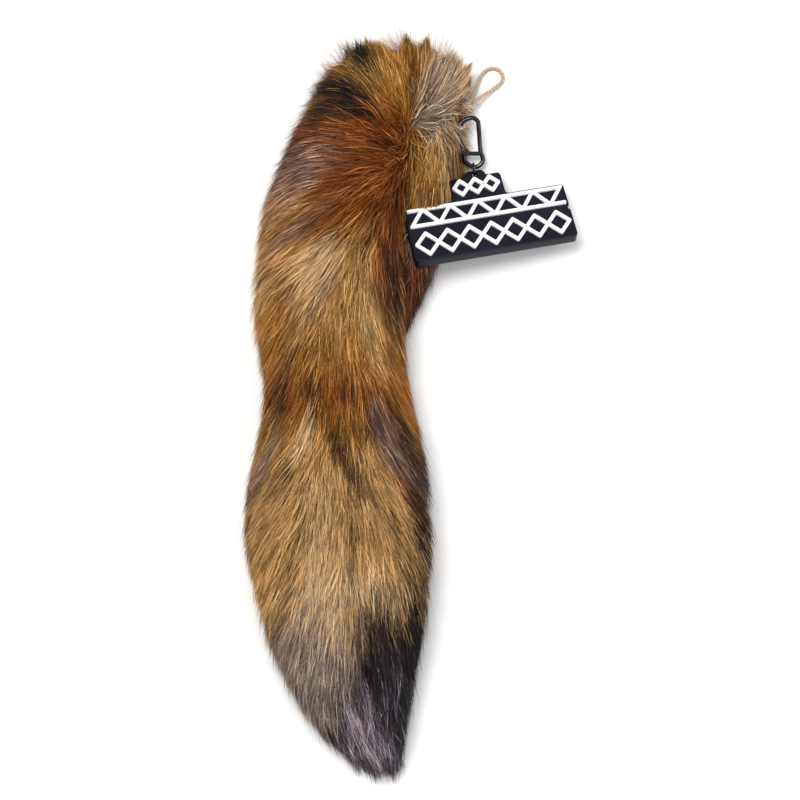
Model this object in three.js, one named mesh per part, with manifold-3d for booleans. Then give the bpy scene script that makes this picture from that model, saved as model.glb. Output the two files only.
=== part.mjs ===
// A costume fox tail lying on its belly, with a twine hanging loop at its root, a snap clasp hooked on the
// twine, and a two-tone rubber charm hung from the clasp by a jump ring. Millimetres, +Z up, +Y towards the root.
// The origin is on the flat the fur rests on, under the middle of the tail.
import * as THREE from "three";
import { mergeVertices } from "three/addons/utils/BufferGeometryUtils.js";
import Module from "manifold-3d";

const wasm = await Module();
wasm.setup();

// Overall size of the tail.
const TAIL_LENGTH = 410;
const TAIL_WIDTH = 98;
const TAIL_HEIGHT = 50;

// Fur body: sides round a section, where a section's widest level lies as a share of its height, and the
// least height of a section as a share of the tail's.
const BODY_SIDES = 14;
const WIDEST_LEVEL = 0.42;
const LEAST_HEIGHT = 0.05;

// Fur locks on the body.
const LOCK_LENGTH = 62;
const LOCK_WIDTH = 19;
const LOCK_THICKNESS = 8;
const LOCK_ROOT_DEPTH = 5;
const LOCK_TIP_LIFT = 3.2;
const LOCK_SPREAD = 0.16;
const LOCK_ROW_PITCH = 34;
const LOCK_COLUMN_PITCH = 24;
const LOCK_ARC_START = -24;
const LOCK_ARC = 228;
const LOCK_LOWEST_TIP = 1;

// How locks are laid out: the first row, the share of the height that counts for the girth, the fewest locks
// in a row, their place in a column and how far every other row is shifted.
const FIRST_LOCK_ROW = 0.6;
const GIRTH_HEIGHT_SHARE = 0.9;
const FEWEST_LOCKS = 3;
const LOCK_COLUMN_PLACE = 0.35;
const LOCK_STAGGER = 0.3;
const LEAST_SECTION_PITCH = 8;

// Fine clearances between pieces that touch on the real object.
const SEAT_GAP = 0.3;
const FUR_GAP = 0.6;
const HINGE_GAP = 0.25;

// Twine loop.
const TWINE_DIAMETER = 2;
const TWINE_SIDES = 8;
const TWINE_STEPS = 60;
const KNOT_LENGTH = 8;
const KNOT_WIDTH = 8.6;
const KNOT_HEIGHT = 7;
const KNOT_FULLNESS = 0.62;
const KNOT_POCKET = 2;
const STRAND_PITCH = 2.5;
const LOOP_DIRECTION = 50;
const FLOOR_GAP = 0.05;

// Snap clasp.
const CLASP_LENGTH = 30;
const CLASP_WIDTH = 14.2;
const CLASP_WIRE = 2.6;
const CLASP_TURN = 4.8;
const CLASP_TILT = 14;
const CLASP_TOP_FROM_KNOT = new THREE.Vector3(0.5, -5.7, 3.6);
const BAR_STEPS = 44;
const BRIDGE_STEPS = 6;
const GATE_WIDTH = 2.3;
const GATE_THICKNESS = 1.6;
const GATE_PIN_DIAMETER = 1.5;
const LUG_DIAMETER = 4.4;
const LUG_THICKNESS = 4;
const PIN_SIDES = 12;

// Jump ring between the clasp's eye and the charm's tab.
const RING_DIAMETER = 8.2;
const RING_WIRE = 1.1;
const RING_SLOPE = 0.04;
const RING_POCKET = 4;

// Rubber charm: two long tiers, a short upper tier, and a tab with a hole.
const CHARM_LENGTH = 92;
const CHARM_THICKNESS = 7.6;
const LOWER_TIER_HEIGHT = 18.8;
const MIDDLE_TIER_HEIGHT = 15.6;
const UPPER_TIER_LENGTH = 31;
const UPPER_TIER_HEIGHT = 14.6;
const UPPER_TIER_SHIFT = -2.4;
const TIER_NOTCH = 1.6;
const CHARM_CORNER = 2.2;
const CHARM_EDGE = 0.7;
const TAB_WIDTH = 14;
const TAB_HEIGHT = 5.2;
const TAB_THICKNESS = 2.2;
const TAB_BORE = 3;
const TAB_MARGIN = 1.3;
const TAB_SHIFT = -0.8;
const TAB_ROUNDING = 0.22;
const CHARM_TURN = 11.5;
const CHARM_PITCH = -20;
const CHARM_ROLL = 2;
const RELIEF_HEIGHT = 1.3;
const RELIEF_STROKE = 2;
const RELIEF_MARGIN = 1.7;
const UPPER_LOZENGES = 3;
const LOWER_LOZENGES = 7;
const MIDDLE_TURNS = 11;

// The most of an edge that a rounded corner may take.
const CORNER_SHARE = 0.45;

// Cross sections from the root to the tip. Left and right edges are shares of the tail's width (x) and
// length (y) from the origin, and height is a share of the tail's height.
const BODY_SECTIONS = [
  { leftX: 0.68, leftY: 0.44, rightX: 0.64, rightY: 0.4, height: 0.42 },
  { leftX: 0.57, leftY: 0.47, rightX: 0.54, rightY: 0.36, height: 0.62 },
  { leftX: 0.39, leftY: 0.48, rightX: 0.41, rightY: 0.32, height: 0.78 },
  { leftX: 0.16, leftY: 0.48, rightX: 0.33, rightY: 0.28, height: 0.88 },
  { leftX: 0, leftY: 0.46, rightX: 0.31, rightY: 0.245, height: 0.95 },
  { leftX: -0.17, leftY: 0.39, rightX: 0.3, rightY: 0.21, height: 1 },
  { leftX: -0.31, leftY: 0.32, rightX: 0.3, rightY: 0.175, height: 1 },
  { leftX: -0.41, leftY: 0.255, rightX: 0.3, rightY: 0.14, height: 0.98 },
  { leftX: -0.43, leftY: 0.19, rightX: 0.3, rightY: 0.105, height: 0.96 },
  { leftX: -0.46, leftY: 0.13, rightX: 0.3, rightY: 0.075, height: 0.95 },
  { leftX: -0.42, leftY: 0.065, rightX: 0.32, rightY: 0.03, height: 0.95 },
  { leftX: -0.41, leftY: 0.005, rightX: 0.35, rightY: -0.01, height: 0.96 },
  { leftX: -0.45, leftY: -0.055, rightX: 0.4, rightY: -0.065, height: 0.98 },
  { leftX: -0.49, leftY: -0.115, rightX: 0.42, rightY: -0.13, height: 1 },
  { leftX: -0.49, leftY: -0.185, rightX: 0.44, rightY: -0.19, height: 1 },
  { leftX: -0.43, leftY: -0.25, rightX: 0.42, rightY: -0.25, height: 0.95 },
  { leftX: -0.37, leftY: -0.305, rightX: 0.4, rightY: -0.3, height: 0.86 },
  { leftX: -0.27, leftY: -0.36, rightX: 0.36, rightY: -0.35, height: 0.74 },
  { leftX: -0.16, leftY: -0.405, rightX: 0.33, rightY: -0.405, height: 0.6 },
  { leftX: -0.02, leftY: -0.445, rightX: 0.3, rightY: -0.44, height: 0.44 },
  { leftX: 0.12, leftY: -0.465, rightX: 0.26, rightY: -0.465, height: 0.28 },
];
const BODY_TIP = { x: 0.22, y: -0.475, height: 0.07 };

// The fur that hangs from the root beside the bend, under the charm's left end.
const LOBE_SECTIONS = [
  { leftX: 0.54, leftY: 0.42, rightX: 0.62, rightY: 0.4, height: 0.42 },
  { leftX: 0.46, leftY: 0.38, rightX: 0.63, rightY: 0.365, height: 0.52 },
  { leftX: 0.39, leftY: 0.35, rightX: 0.64, rightY: 0.335, height: 0.56 },
  { leftX: 0.35, leftY: 0.315, rightX: 0.62, rightY: 0.305, height: 0.54 },
  { leftX: 0.32, leftY: 0.28, rightX: 0.58, rightY: 0.275, height: 0.5 },
  { leftX: 0.31, leftY: 0.235, rightX: 0.53, rightY: 0.225, height: 0.46 },
  { leftX: 0.29, leftY: 0.185, rightX: 0.46, rightY: 0.185, height: 0.41 },
  { leftX: 0.29, leftY: 0.145, rightX: 0.39, rightY: 0.145, height: 0.36 },
  { leftX: 0.28, leftY: 0.11, rightX: 0.33, rightY: 0.115, height: 0.28 },
];
const LOBE_TIP = { x: 0.32, y: 0.1, height: 0.08 };

// A lock from its root to near its tip: place along it, share of its width and height above the surface.
const LOCK_PROFILE = [
  { along: 0, share: 0.75, lift: -LOCK_ROOT_DEPTH },
  { along: 0.35, share: 1, lift: -1 },
  { along: 0.7, share: 0.72, lift: LOCK_TIP_LIFT * 0.45 },
];
const TUFT_PROFILE = [
  { along: 0, share: 0.9 },
  { along: 0.5, share: 0.8 },
];

// Single tufts that break the outline, from base to tip: x as a share of width, y of length, z of height.
const TUFTS = [
  { fromX: 0.1, fromY: 0.455, fromZ: 0.52, toX: 0.05, toY: 0.495, toZ: 0.44, width: 15 },
  { fromX: 0.2, fromY: 0.46, fromZ: 0.54, toX: 0.17, toY: 0.5, toZ: 0.46, width: 16 },
  { fromX: 0.32, fromY: 0.46, fromZ: 0.52, toX: 0.33, toY: 0.51, toZ: 0.48, width: 11 },
  { fromX: 0.42, fromY: 0.46, fromZ: 0.5, toX: 0.46, toY: 0.505, toZ: 0.48, width: 12 },
  { fromX: 0.54, fromY: 0.45, fromZ: 0.44, toX: 0.57, toY: 0.485, toZ: 0.4, width: 12 },
  { fromX: 0.62, fromY: 0.44, fromZ: 0.36, toX: 0.71, toY: 0.485, toZ: 0.28, width: 11 },
  { fromX: 0.64, fromY: 0.425, fromZ: 0.24, toX: 0.72, toY: 0.445, toZ: 0.18, width: 9 },
  { fromX: -0.34, fromY: 0.29, fromZ: 0.4, toX: -0.48, toY: 0.26, toZ: 0.24, width: 14 },
  { fromX: -0.41, fromY: 0.165, fromZ: 0.4, toX: -0.53, toY: 0.135, toZ: 0.24, width: 14 },
  { fromX: -0.42, fromY: -0.105, fromZ: 0.44, toX: -0.54, toY: -0.145, toZ: 0.28, width: 15 },
  { fromX: -0.39, fromY: -0.25, fromZ: 0.32, toX: -0.44, toY: -0.3, toZ: 0.16, width: 14 },
  { fromX: 0.17, fromY: -0.45, fromZ: 0.16, toX: 0.14, toY: -0.485, toZ: 0.06, width: 9 },
  { fromX: 0.23, fromY: -0.45, fromZ: 0.16, toX: 0.23, toY: -0.485, toZ: 0.06, width: 9 },
  { fromX: 0.28, fromY: -0.445, fromZ: 0.16, toX: 0.31, toY: -0.48, toZ: 0.06, width: 9 },
  { fromX: 0.42, fromY: 0.16, fromZ: 0.24, toX: 0.39, toY: 0.13, toZ: 0.14, width: 9 },
  { fromX: 0.38, fromY: 0.13, fromZ: 0.18, toX: 0.35, toY: 0.1, toZ: 0.08, width: 9 },
];

// The clasp's bar from its nose over the hook, down the back and round the eye to the gate's lug, and the
// bridge that closes the eye: across as a share of the clasp's half width, along of its half length.
const CLASP_ROUTE = [
  { across: -0.97, along: 0.5 },
  { across: -0.93, along: 0.7 },
  { across: -0.53, along: 0.89 },
  { across: 0.03, along: 0.98 },
  { across: 0.55, along: 1 },
  { across: 0.91, along: 0.87 },
  { across: 1, along: 0.66 },
  { across: 1, along: -0.33 },
  { across: 1.14, along: -0.6 },
  { across: 1.16, along: -0.78 },
  { across: 0.85, along: -0.94 },
  { across: 0.42, along: -1 },
  { across: -0.06, along: -0.94 },
  { across: -0.61, along: -0.71 },
  { across: -0.54, along: -0.42 },
];
const BRIDGE_ROUTE = [
  { across: -0.51, along: -0.4 },
  { across: 0.21, along: -0.45 },
  { across: 1, along: -0.47 },
];
const PIVOT_PLACE = { across: -0.51, along: -0.36 };
const RING_PLACE = { across: 0.21, along: -1 };

const sizes = new THREE.Vector3(TAIL_WIDTH, TAIL_LENGTH, TAIL_HEIGHT);
const radians = THREE.MathUtils.degToRad;

// A closed geometry as a solid that can be joined and cut.
function solidOf(geometry, matrix = new THREE.Matrix4()) {
  const bare = new THREE.BufferGeometry();
  const plain = geometry.index ? geometry.toNonIndexed() : geometry;
  bare.setAttribute("position", plain.getAttribute("position").clone());
  bare.applyMatrix4(matrix);
  const merged = mergeVertices(bare, 1e-4);
  const mesh = new wasm.Mesh({
    numProp: 3,
    vertProperties: new Float32Array(merged.attributes.position.array),
    triVerts: new Uint32Array(merged.index.array),
  });
  return new wasm.Manifold(mesh);
}

// A solid back as a geometry for a mesh.
function geometryOf(solid) {
  const { vertProperties, triVerts } = solid.getMesh();
  const geometry = new THREE.BufferGeometry();
  geometry.setAttribute("position", new THREE.BufferAttribute(vertProperties, 3));
  geometry.setIndex(new THREE.BufferAttribute(triVerts, 1));
  geometry.computeVertexNormals();
  return geometry;
}

const joined = (solids) => solids.reduce((sum, next) => sum.add(next));

// The largest shell of a solid, without loose crumbs or closed hollows.
const mainShell = (solid) => solid.decompose().reduce((most, next) => (next.volume() > most.volume() ? next : most));

// A named mesh with a plain material.
function piece(name, geometry, color, roughness, metalness = 0) {
  const material = new THREE.MeshStandardMaterial({ color, roughness, metalness });
  const mesh = new THREE.Mesh(geometry, material);
  mesh.name = name;
  return mesh;
}

// A closed skin over rings of equal length, with a centre point at each end.
function skin(rings, firstCentre, lastCentre) {
  const sides = rings[0].length;
  const vertices = [...rings.flat(), firstCentre, lastCentre];
  const first = vertices.length - 2;
  const last = vertices.length - 1;
  const faces = [];
  for (let ring = 0; ring < rings.length - 1; ring += 1) {
    for (let side = 0; side < sides; side += 1) {
      const a = ring * sides + side;
      const b = ring * sides + ((side + 1) % sides);
      faces.push(a, b, b + sides, a, b + sides, a + sides);
    }
  }
  const lastRing = (rings.length - 1) * sides;
  for (let side = 0; side < sides; side += 1) {
    const next = (side + 1) % sides;
    faces.push(first, next, side, last, lastRing + side, lastRing + next);
  }
  const geometry = new THREE.BufferGeometry().setFromPoints(vertices);
  geometry.setIndex(faces);
  return geometry;
}

// A point of a fur body: row counts sections from the root, angle turns from the right edge over the top.
function bodyPoint(sections, row, angle) {
  const low = Math.min(Math.max(Math.floor(row), 0), sections.length - 2);
  const share = row - low;
  const mix = (column) => THREE.MathUtils.lerp(sections[low][column], sections[low + 1][column], share);
  const across = (1 + Math.cos(angle)) / 2;
  const height = Math.max(mix("height"), LEAST_HEIGHT);
  const level = WIDEST_LEVEL * height + (Math.sin(angle) * height) / 2;
  return new THREE.Vector3(
    THREE.MathUtils.lerp(mix("leftX"), mix("rightX"), across),
    THREE.MathUtils.lerp(mix("leftY"), mix("rightY"), across),
    Math.max(level / (WIDEST_LEVEL + 0.5), 0),
  ).multiply(sizes);
}

// The plain fur body through its sections.
function bodySolid(sections, tip) {
  const rings = sections.map((_, row) =>
    Array.from({ length: BODY_SIDES }, (_, side) => bodyPoint(sections, row, (2 * Math.PI * side) / BODY_SIDES)),
  );
  const rootCentre = rings[0].reduce((sum, p) => sum.add(p), new THREE.Vector3()).divideScalar(BODY_SIDES);
  const tipCentre = new THREE.Vector3(tip.x, tip.y, tip.height).multiply(sizes);
  return solidOf(skin(rings, rootCentre, tipCentre));
}

// One tapering lock through stations, each with a centre, a direction across and a direction out of the fur.
function lockSolid(stations, tip, width, thickness) {
  const rings = stations.map(({ centre, across, out, share }) => {
    const halfWidth = (width * share) / 2;
    const halfThickness = (thickness * share) / 2;
    return [
      centre.clone().addScaledVector(across, -halfWidth),
      centre.clone().addScaledVector(out, halfThickness),
      centre.clone().addScaledVector(across, halfWidth),
      centre.clone().addScaledVector(out, -halfThickness),
    ].map((p) => p.setZ(Math.max(p.z, 0)));
  });
  return solidOf(skin(rings, stations[0].centre.clone(), tip));
}

// A lock that starts inside the body and follows its surface towards the tip, lifting as it goes.
function surfaceLock(sections, row, angle, span) {
  const spread = (angle - Math.PI / 2) * LOCK_SPREAD;
  const place = (along, lift) => {
    const at = row + span * along;
    const turned = angle + spread * along;
    const here = bodyPoint(sections, at, turned);
    const across = bodyPoint(sections, at, turned + 0.1).sub(bodyPoint(sections, at, turned - 0.1)).normalize();
    const flow = bodyPoint(sections, at + 0.2, turned).sub(bodyPoint(sections, at - 0.2, turned)).normalize();
    const out = new THREE.Vector3().crossVectors(across, flow).normalize();
    return { centre: here.addScaledVector(out, lift), across, out };
  };
  const stations = LOCK_PROFILE.map(({ along, share, lift }) => ({ ...place(along, lift), share }));
  const tip = place(1, LOCK_TIP_LIFT).centre;
  tip.setZ(Math.max(tip.z, LOCK_LOWEST_TIP));
  return lockSolid(stations, tip, LOCK_WIDTH, LOCK_THICKNESS);
}

// Staggered rows of locks over the top and both flanks of a body.
function bodyLocks(sections) {
  const locks = [];
  const lastRow = sections.length - 1.001;
  const sectionPitch = (row) => {
    const here = bodyPoint(sections, row, Math.PI / 2);
    return Math.max(here.distanceTo(bodyPoint(sections, row + 1, Math.PI / 2)), LEAST_SECTION_PITCH);
  };
  let row = FIRST_LOCK_ROW;
  let stagger = 0;
  while (row < lastRow - 1) {
    const right = bodyPoint(sections, row, 0);
    const left = bodyPoint(sections, row, Math.PI);
    const top = bodyPoint(sections, row, Math.PI / 2).z;
    const girth = right.distanceTo(left) + GIRTH_HEIGHT_SHARE * top;
    const columns = Math.max(FEWEST_LOCKS, Math.round(girth / LOCK_COLUMN_PITCH));
    const span = Math.min(LOCK_LENGTH / sectionPitch(row), lastRow - row);
    for (let column = 0; column < columns; column += 1) {
      const share = (column + LOCK_COLUMN_PLACE + stagger * LOCK_STAGGER) / columns;
      locks.push(surfaceLock(sections, row, radians(LOCK_ARC_START + LOCK_ARC * share), span));
    }
    row += LOCK_ROW_PITCH / sectionPitch(row);
    stagger = 1 - stagger;
  }
  return locks;
}

// A straight tuft that breaks the outline.
function tuftSolid({ fromX, fromY, fromZ, toX, toY, toZ, width }) {
  const from = new THREE.Vector3(fromX, fromY, fromZ).multiply(sizes);
  const to = new THREE.Vector3(toX, toY, toZ).multiply(sizes);
  const flow = to.clone().sub(from).normalize();
  const out = new THREE.Vector3(0, 0, 1);
  const across = new THREE.Vector3().crossVectors(flow, out).normalize();
  const stations = TUFT_PROFILE.map(({ along, share }) => ({
    centre: from.clone().lerp(to, along),
    across,
    out,
    share,
  }));
  return lockSolid(stations, to, width, LOCK_THICKNESS);
}

// Where the knot of the twine lies, and from there the top of the clasp that is hooked on the twine.
const knotPlace = new THREE.Vector3(0.69 * TAIL_WIDTH, 0.4137 * TAIL_LENGTH, 0.16 * TAIL_HEIGHT);
const clasp = new THREE.Group();
clasp.rotation.set(radians(CLASP_TILT), 0, radians(CLASP_TURN), "ZXY");
const claspMiddle = new THREE.Vector3(0, CLASP_LENGTH / 2, 0).applyEuler(clasp.rotation).negate();
clasp.position.copy(knotPlace).add(CLASP_TOP_FROM_KNOT).add(claspMiddle);
clasp.updateMatrixWorld(true);

const wireRadius = CLASP_WIRE / 2;
const barHalfWidth = CLASP_WIDTH / 2 - wireRadius;
const barHalfLength = CLASP_LENGTH / 2 - wireRadius;
const onClasp = ({ across, along }) => new THREE.Vector3(across * barHalfWidth, along * barHalfLength, 0);
const pivot = onClasp(PIVOT_PLACE);
const nose = onClasp(CLASP_ROUTE[0]);

// A round bar along a smooth path in the clasp's plane.
function bar(places, steps) {
  const path = new THREE.CatmullRomCurve3(places.map(onClasp), false, "catmullrom", 0.5);
  const section = new THREE.Shape().absarc(0, 0, wireRadius, 0, 2 * Math.PI);
  return new THREE.ExtrudeGeometry(section, { steps, curveSegments: 4, extrudePath: path, bevelEnabled: false });
}

// A disc with its axis out of the clasp's plane.
function disc(x, y, radius, thickness, segments = 16) {
  const turned = new THREE.Matrix4().makeRotationX(Math.PI / 2).setPosition(x, y, 0);
  return solidOf(new THREE.CylinderGeometry(radius, radius, thickness, segments), turned);
}

// Clasp frame: the bent bar, the bridge, and the slotted lug with the gate's pin across it.
function claspFrame() {
  const lugRadius = LUG_DIAMETER / 2;
  const slotWidth = GATE_THICKNESS + 2 * HINGE_GAP;
  const lug = disc(pivot.x, pivot.y, lugRadius, LUG_THICKNESS);
  const slot = disc(pivot.x, pivot.y, lugRadius + 2 * HINGE_GAP, slotWidth);
  const pin = disc(pivot.x, pivot.y, GATE_PIN_DIAMETER / 2, LUG_THICKNESS + HINGE_GAP, PIN_SIDES);
  const swing = new THREE.BoxGeometry(LUG_DIAMETER + GATE_WIDTH, LUG_DIAMETER, slotWidth);
  const swingPlace = new THREE.Matrix4().setPosition(pivot.x, pivot.y + lugRadius, 0);
  return joined([solidOf(bar(CLASP_ROUTE, BAR_STEPS)), solidOf(bar(BRIDGE_ROUTE, BRIDGE_STEPS)), lug])
    .subtract(slot)
    .subtract(solidOf(swing, swingPlace))
    .add(pin);
}

// Clasp gate: an eye round the pin and a flat lever up to the nose.
function claspGate() {
  const top = nose.y - 2 * SEAT_GAP;
  const outline = new THREE.Shape();
  const halfWidth = GATE_WIDTH / 2;
  const eye = LUG_DIAMETER / 2 - HINGE_GAP;
  outline.moveTo(pivot.x - eye, pivot.y);
  outline.lineTo(nose.x - halfWidth, top - GATE_WIDTH);
  outline.lineTo(nose.x - halfWidth, top);
  outline.lineTo(nose.x + halfWidth, top);
  outline.lineTo(nose.x + halfWidth, top - GATE_WIDTH);
  outline.lineTo(pivot.x + eye, pivot.y);
  outline.absarc(pivot.x, pivot.y, eye, 0, -Math.PI, true);
  const lever = new THREE.ExtrudeGeometry(outline, { depth: GATE_THICKNESS, bevelEnabled: false, curveSegments: 8 });
  lever.translate(0, 0, -GATE_THICKNESS / 2);
  const bore = disc(pivot.x, pivot.y, GATE_PIN_DIAMETER / 2 + HINGE_GAP, GATE_THICKNESS * 2, PIN_SIDES);
  return solidOf(lever).subtract(bore);
}

const metal = { color: 0x2b2a2c, roughness: 0.28, metalness: 1 };
clasp.add(piece("clasp_frame", geometryOf(claspFrame()), metal.color, metal.roughness, metal.metalness));
clasp.add(piece("clasp_gate", geometryOf(claspGate()), metal.color, metal.roughness, metal.metalness));

// The jump ring stands across the clasp, through its eye and the charm's tab.
const ringRadius = RING_DIAMETER / 2 - RING_WIRE / 2;
const ringRest = onClasp(RING_PLACE).add(new THREE.Vector3(0, wireRadius + SEAT_GAP + RING_WIRE / 2, 0));
const ringInEye = ringRest.applyMatrix4(clasp.matrixWorld);
const ringTurn = radians(CLASP_TURN);
const ringDown = new THREE.Vector3(Math.sin(ringTurn), -Math.cos(ringTurn), -RING_SLOPE).normalize();
const ringCentre = ringInEye.clone().addScaledVector(ringDown, ringRadius);
const jumpRing = piece(
  "jump_ring",
  new THREE.TorusGeometry(ringRadius, RING_WIRE / 2, 6, 16),
  metal.color,
  metal.roughness,
  metal.metalness,
);
jumpRing.position.copy(ringCentre);
jumpRing.rotation.set(0, Math.PI / 2, ringTurn, "ZYX");

// The charm hangs with the hole of its tab on the ring.
const lowerTierBottom = -(LOWER_TIER_HEIGHT + MIDDLE_TIER_HEIGHT) / 2;
const lowerTierTop = lowerTierBottom + LOWER_TIER_HEIGHT;
const middleTierTop = lowerTierTop + MIDDLE_TIER_HEIGHT;
const upperTierTop = middleTierTop + UPPER_TIER_HEIGHT;
const tabTop = upperTierTop + TAB_HEIGHT;
const tabHole = new THREE.Vector3(TAB_SHIFT, tabTop - TAB_BORE / 2 - TAB_MARGIN, 0);
const charm = new THREE.Group();
charm.rotation.set(radians(CHARM_PITCH), radians(CHARM_ROLL), radians(CHARM_TURN), "YXZ");
const ringInTab = ringCentre.clone().addScaledVector(ringDown, ringRadius);
charm.position.copy(ringInTab.sub(tabHole.clone().applyEuler(charm.rotation)));
charm.updateMatrixWorld(true);

// A closed outline through corners given as [x, y], with each corner rounded.
function roundedOutline(corners, radius) {
  const outline = new THREE.Shape();
  corners.forEach(([x, y], i) => {
    const here = new THREE.Vector2(x, y);
    const back = new THREE.Vector2(...corners.at(i - 1)).sub(here);
    const on = new THREE.Vector2(...corners[(i + 1) % corners.length]).sub(here);
    const cut = Math.min(radius, back.length() * CORNER_SHARE, on.length() * CORNER_SHARE);
    const start = here.clone().addScaledVector(back.normalize(), cut);
    const end = here.clone().addScaledVector(on.normalize(), cut);
    if (i === 0) outline.moveTo(start.x, start.y);
    else outline.lineTo(start.x, start.y);
    outline.quadraticCurveTo(here.x, here.y, end.x, end.y);
  });
  return outline;
}

// Charm body, grown by some margin for the hollow that it presses into the fur.
function charmBody(margin = 0) {
  const left = -CHARM_LENGTH / 2 - margin;
  const right = CHARM_LENGTH / 2 + margin;
  const upperLeft = UPPER_TIER_SHIFT - UPPER_TIER_LENGTH / 2 - margin;
  const upperRight = UPPER_TIER_SHIFT + UPPER_TIER_LENGTH / 2 + margin;
  const corners = [
    [left, lowerTierBottom - margin],
    [right, lowerTierBottom - margin],
    [right, lowerTierTop - TIER_NOTCH],
    [right - TIER_NOTCH, lowerTierTop],
    [right, lowerTierTop + TIER_NOTCH],
    [right, middleTierTop + margin],
    [upperRight, middleTierTop + margin],
    [upperRight, upperTierTop + margin],
    [upperLeft, upperTierTop + margin],
    [upperLeft, middleTierTop + margin],
    [left, middleTierTop + margin],
  ];
  const thickness = CHARM_THICKNESS + 2 * margin;
  const plate = new THREE.ExtrudeGeometry(roundedOutline(corners, CHARM_CORNER), {
    depth: thickness - 2 * CHARM_EDGE,
    bevelSize: CHARM_EDGE,
    bevelOffset: -CHARM_EDGE,
    bevelThickness: CHARM_EDGE,
    bevelSegments: 1,
    curveSegments: 3,
  });
  plate.translate(0, 0, CHARM_EDGE - thickness / 2);
  return solidOf(plate);
}

function charmPlate() {
  const tabLeft = TAB_SHIFT - TAB_WIDTH / 2;
  const tabRight = TAB_SHIFT + TAB_WIDTH / 2;
  const corners = [
    [tabLeft, upperTierTop - TAB_HEIGHT / 2],
    [tabRight, upperTierTop - TAB_HEIGHT / 2],
    [tabRight - TAB_MARGIN, tabTop],
    [tabLeft + TAB_MARGIN, tabTop],
  ];
  const tab = new THREE.ExtrudeGeometry(roundedOutline(corners, TAB_WIDTH * TAB_ROUNDING), {
    depth: TAB_THICKNESS,
    bevelEnabled: false,
    curveSegments: 4,
  });
  tab.translate(0, 0, -TAB_THICKNESS / 2);
  const hole = disc(tabHole.x, tabHole.y, TAB_BORE / 2, TAB_THICKNESS * 2);
  return charmBody().add(solidOf(tab)).subtract(hole);
}

// A straight raised stroke on the charm's face, long enough to run into the next one.
const reliefFloor = CHARM_THICKNESS / 2 + SEAT_GAP;
function stroke(fromX, fromY, toX, toY, width = RELIEF_STROKE) {
  const long = Math.hypot(toX - fromX, toY - fromY) + width / 3;
  const box = new THREE.BoxGeometry(long, width, RELIEF_HEIGHT);
  const place = new THREE.Matrix4().makeRotationZ(Math.atan2(toY - fromY, toX - fromX));
  place.setPosition((fromX + toX) / 2, (fromY + toY) / 2, reliefFloor + RELIEF_HEIGHT / 2);
  return solidOf(box, place);
}

// A lozenge frame of raised strokes.
function lozenge(x, y, halfWidth, halfHeight) {
  const corners = [
    [x + halfWidth, y],
    [x, y + halfHeight],
    [x - halfWidth, y],
    [x, y - halfHeight],
  ];
  return joined(corners.map(([ax, ay], i) => stroke(ax, ay, ...corners[(i + 1) % 4])));
}

// A band of lozenges set point to point.
function lozengeBand(left, right, bottom, top, count) {
  const inset = RELIEF_MARGIN + RELIEF_STROKE / 2;
  const pitch = (right - left - 2 * inset) / count;
  const middle = (bottom + top) / 2;
  const halfHeight = (top - bottom) / 2 - inset;
  const centres = Array.from({ length: count }, (_, i) => left + inset + pitch * (i + 0.5));
  return joined(centres.map((x) => lozenge(x, middle, pitch / 2, halfHeight)));
}

// A zigzag between two rails.
function zigzagBand(left, right, bottom, top, count) {
  const inset = RELIEF_MARGIN + RELIEF_STROKE / 2;
  const low = bottom + inset;
  const high = top - inset;
  const pitch = (right - left - 2 * inset) / count;
  const turns = Array.from({ length: count + 1 }, (_, i) => [left + inset + pitch * i, i % 2 ? high : low]);
  const zigzag = turns.slice(1).map((turn, i) => stroke(...turns[i], ...turn));
  const rails = [low, high].map((y) => stroke(left + inset, y, right - inset, y));
  return joined([...zigzag, ...rails]);
}

const upperLeft = UPPER_TIER_SHIFT - UPPER_TIER_LENGTH / 2;
const upperRight = UPPER_TIER_SHIFT + UPPER_TIER_LENGTH / 2;
const halfCharm = CHARM_LENGTH / 2;
charm.add(piece("charm_plate", geometryOf(charmPlate()), 0x14161d, 0.55));
const reliefs = {
  relief_upper: lozengeBand(upperLeft, upperRight, middleTierTop, upperTierTop, UPPER_LOZENGES),
  relief_middle: zigzagBand(-halfCharm, halfCharm, lowerTierTop, middleTierTop, MIDDLE_TURNS),
  relief_lower: lozengeBand(-halfCharm, halfCharm, lowerTierBottom, lowerTierTop, LOWER_LOZENGES),
};
for (const [name, solid] of Object.entries(reliefs)) charm.add(piece(name, geometryOf(solid), 0xf2f2f0, 0.5));

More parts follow.
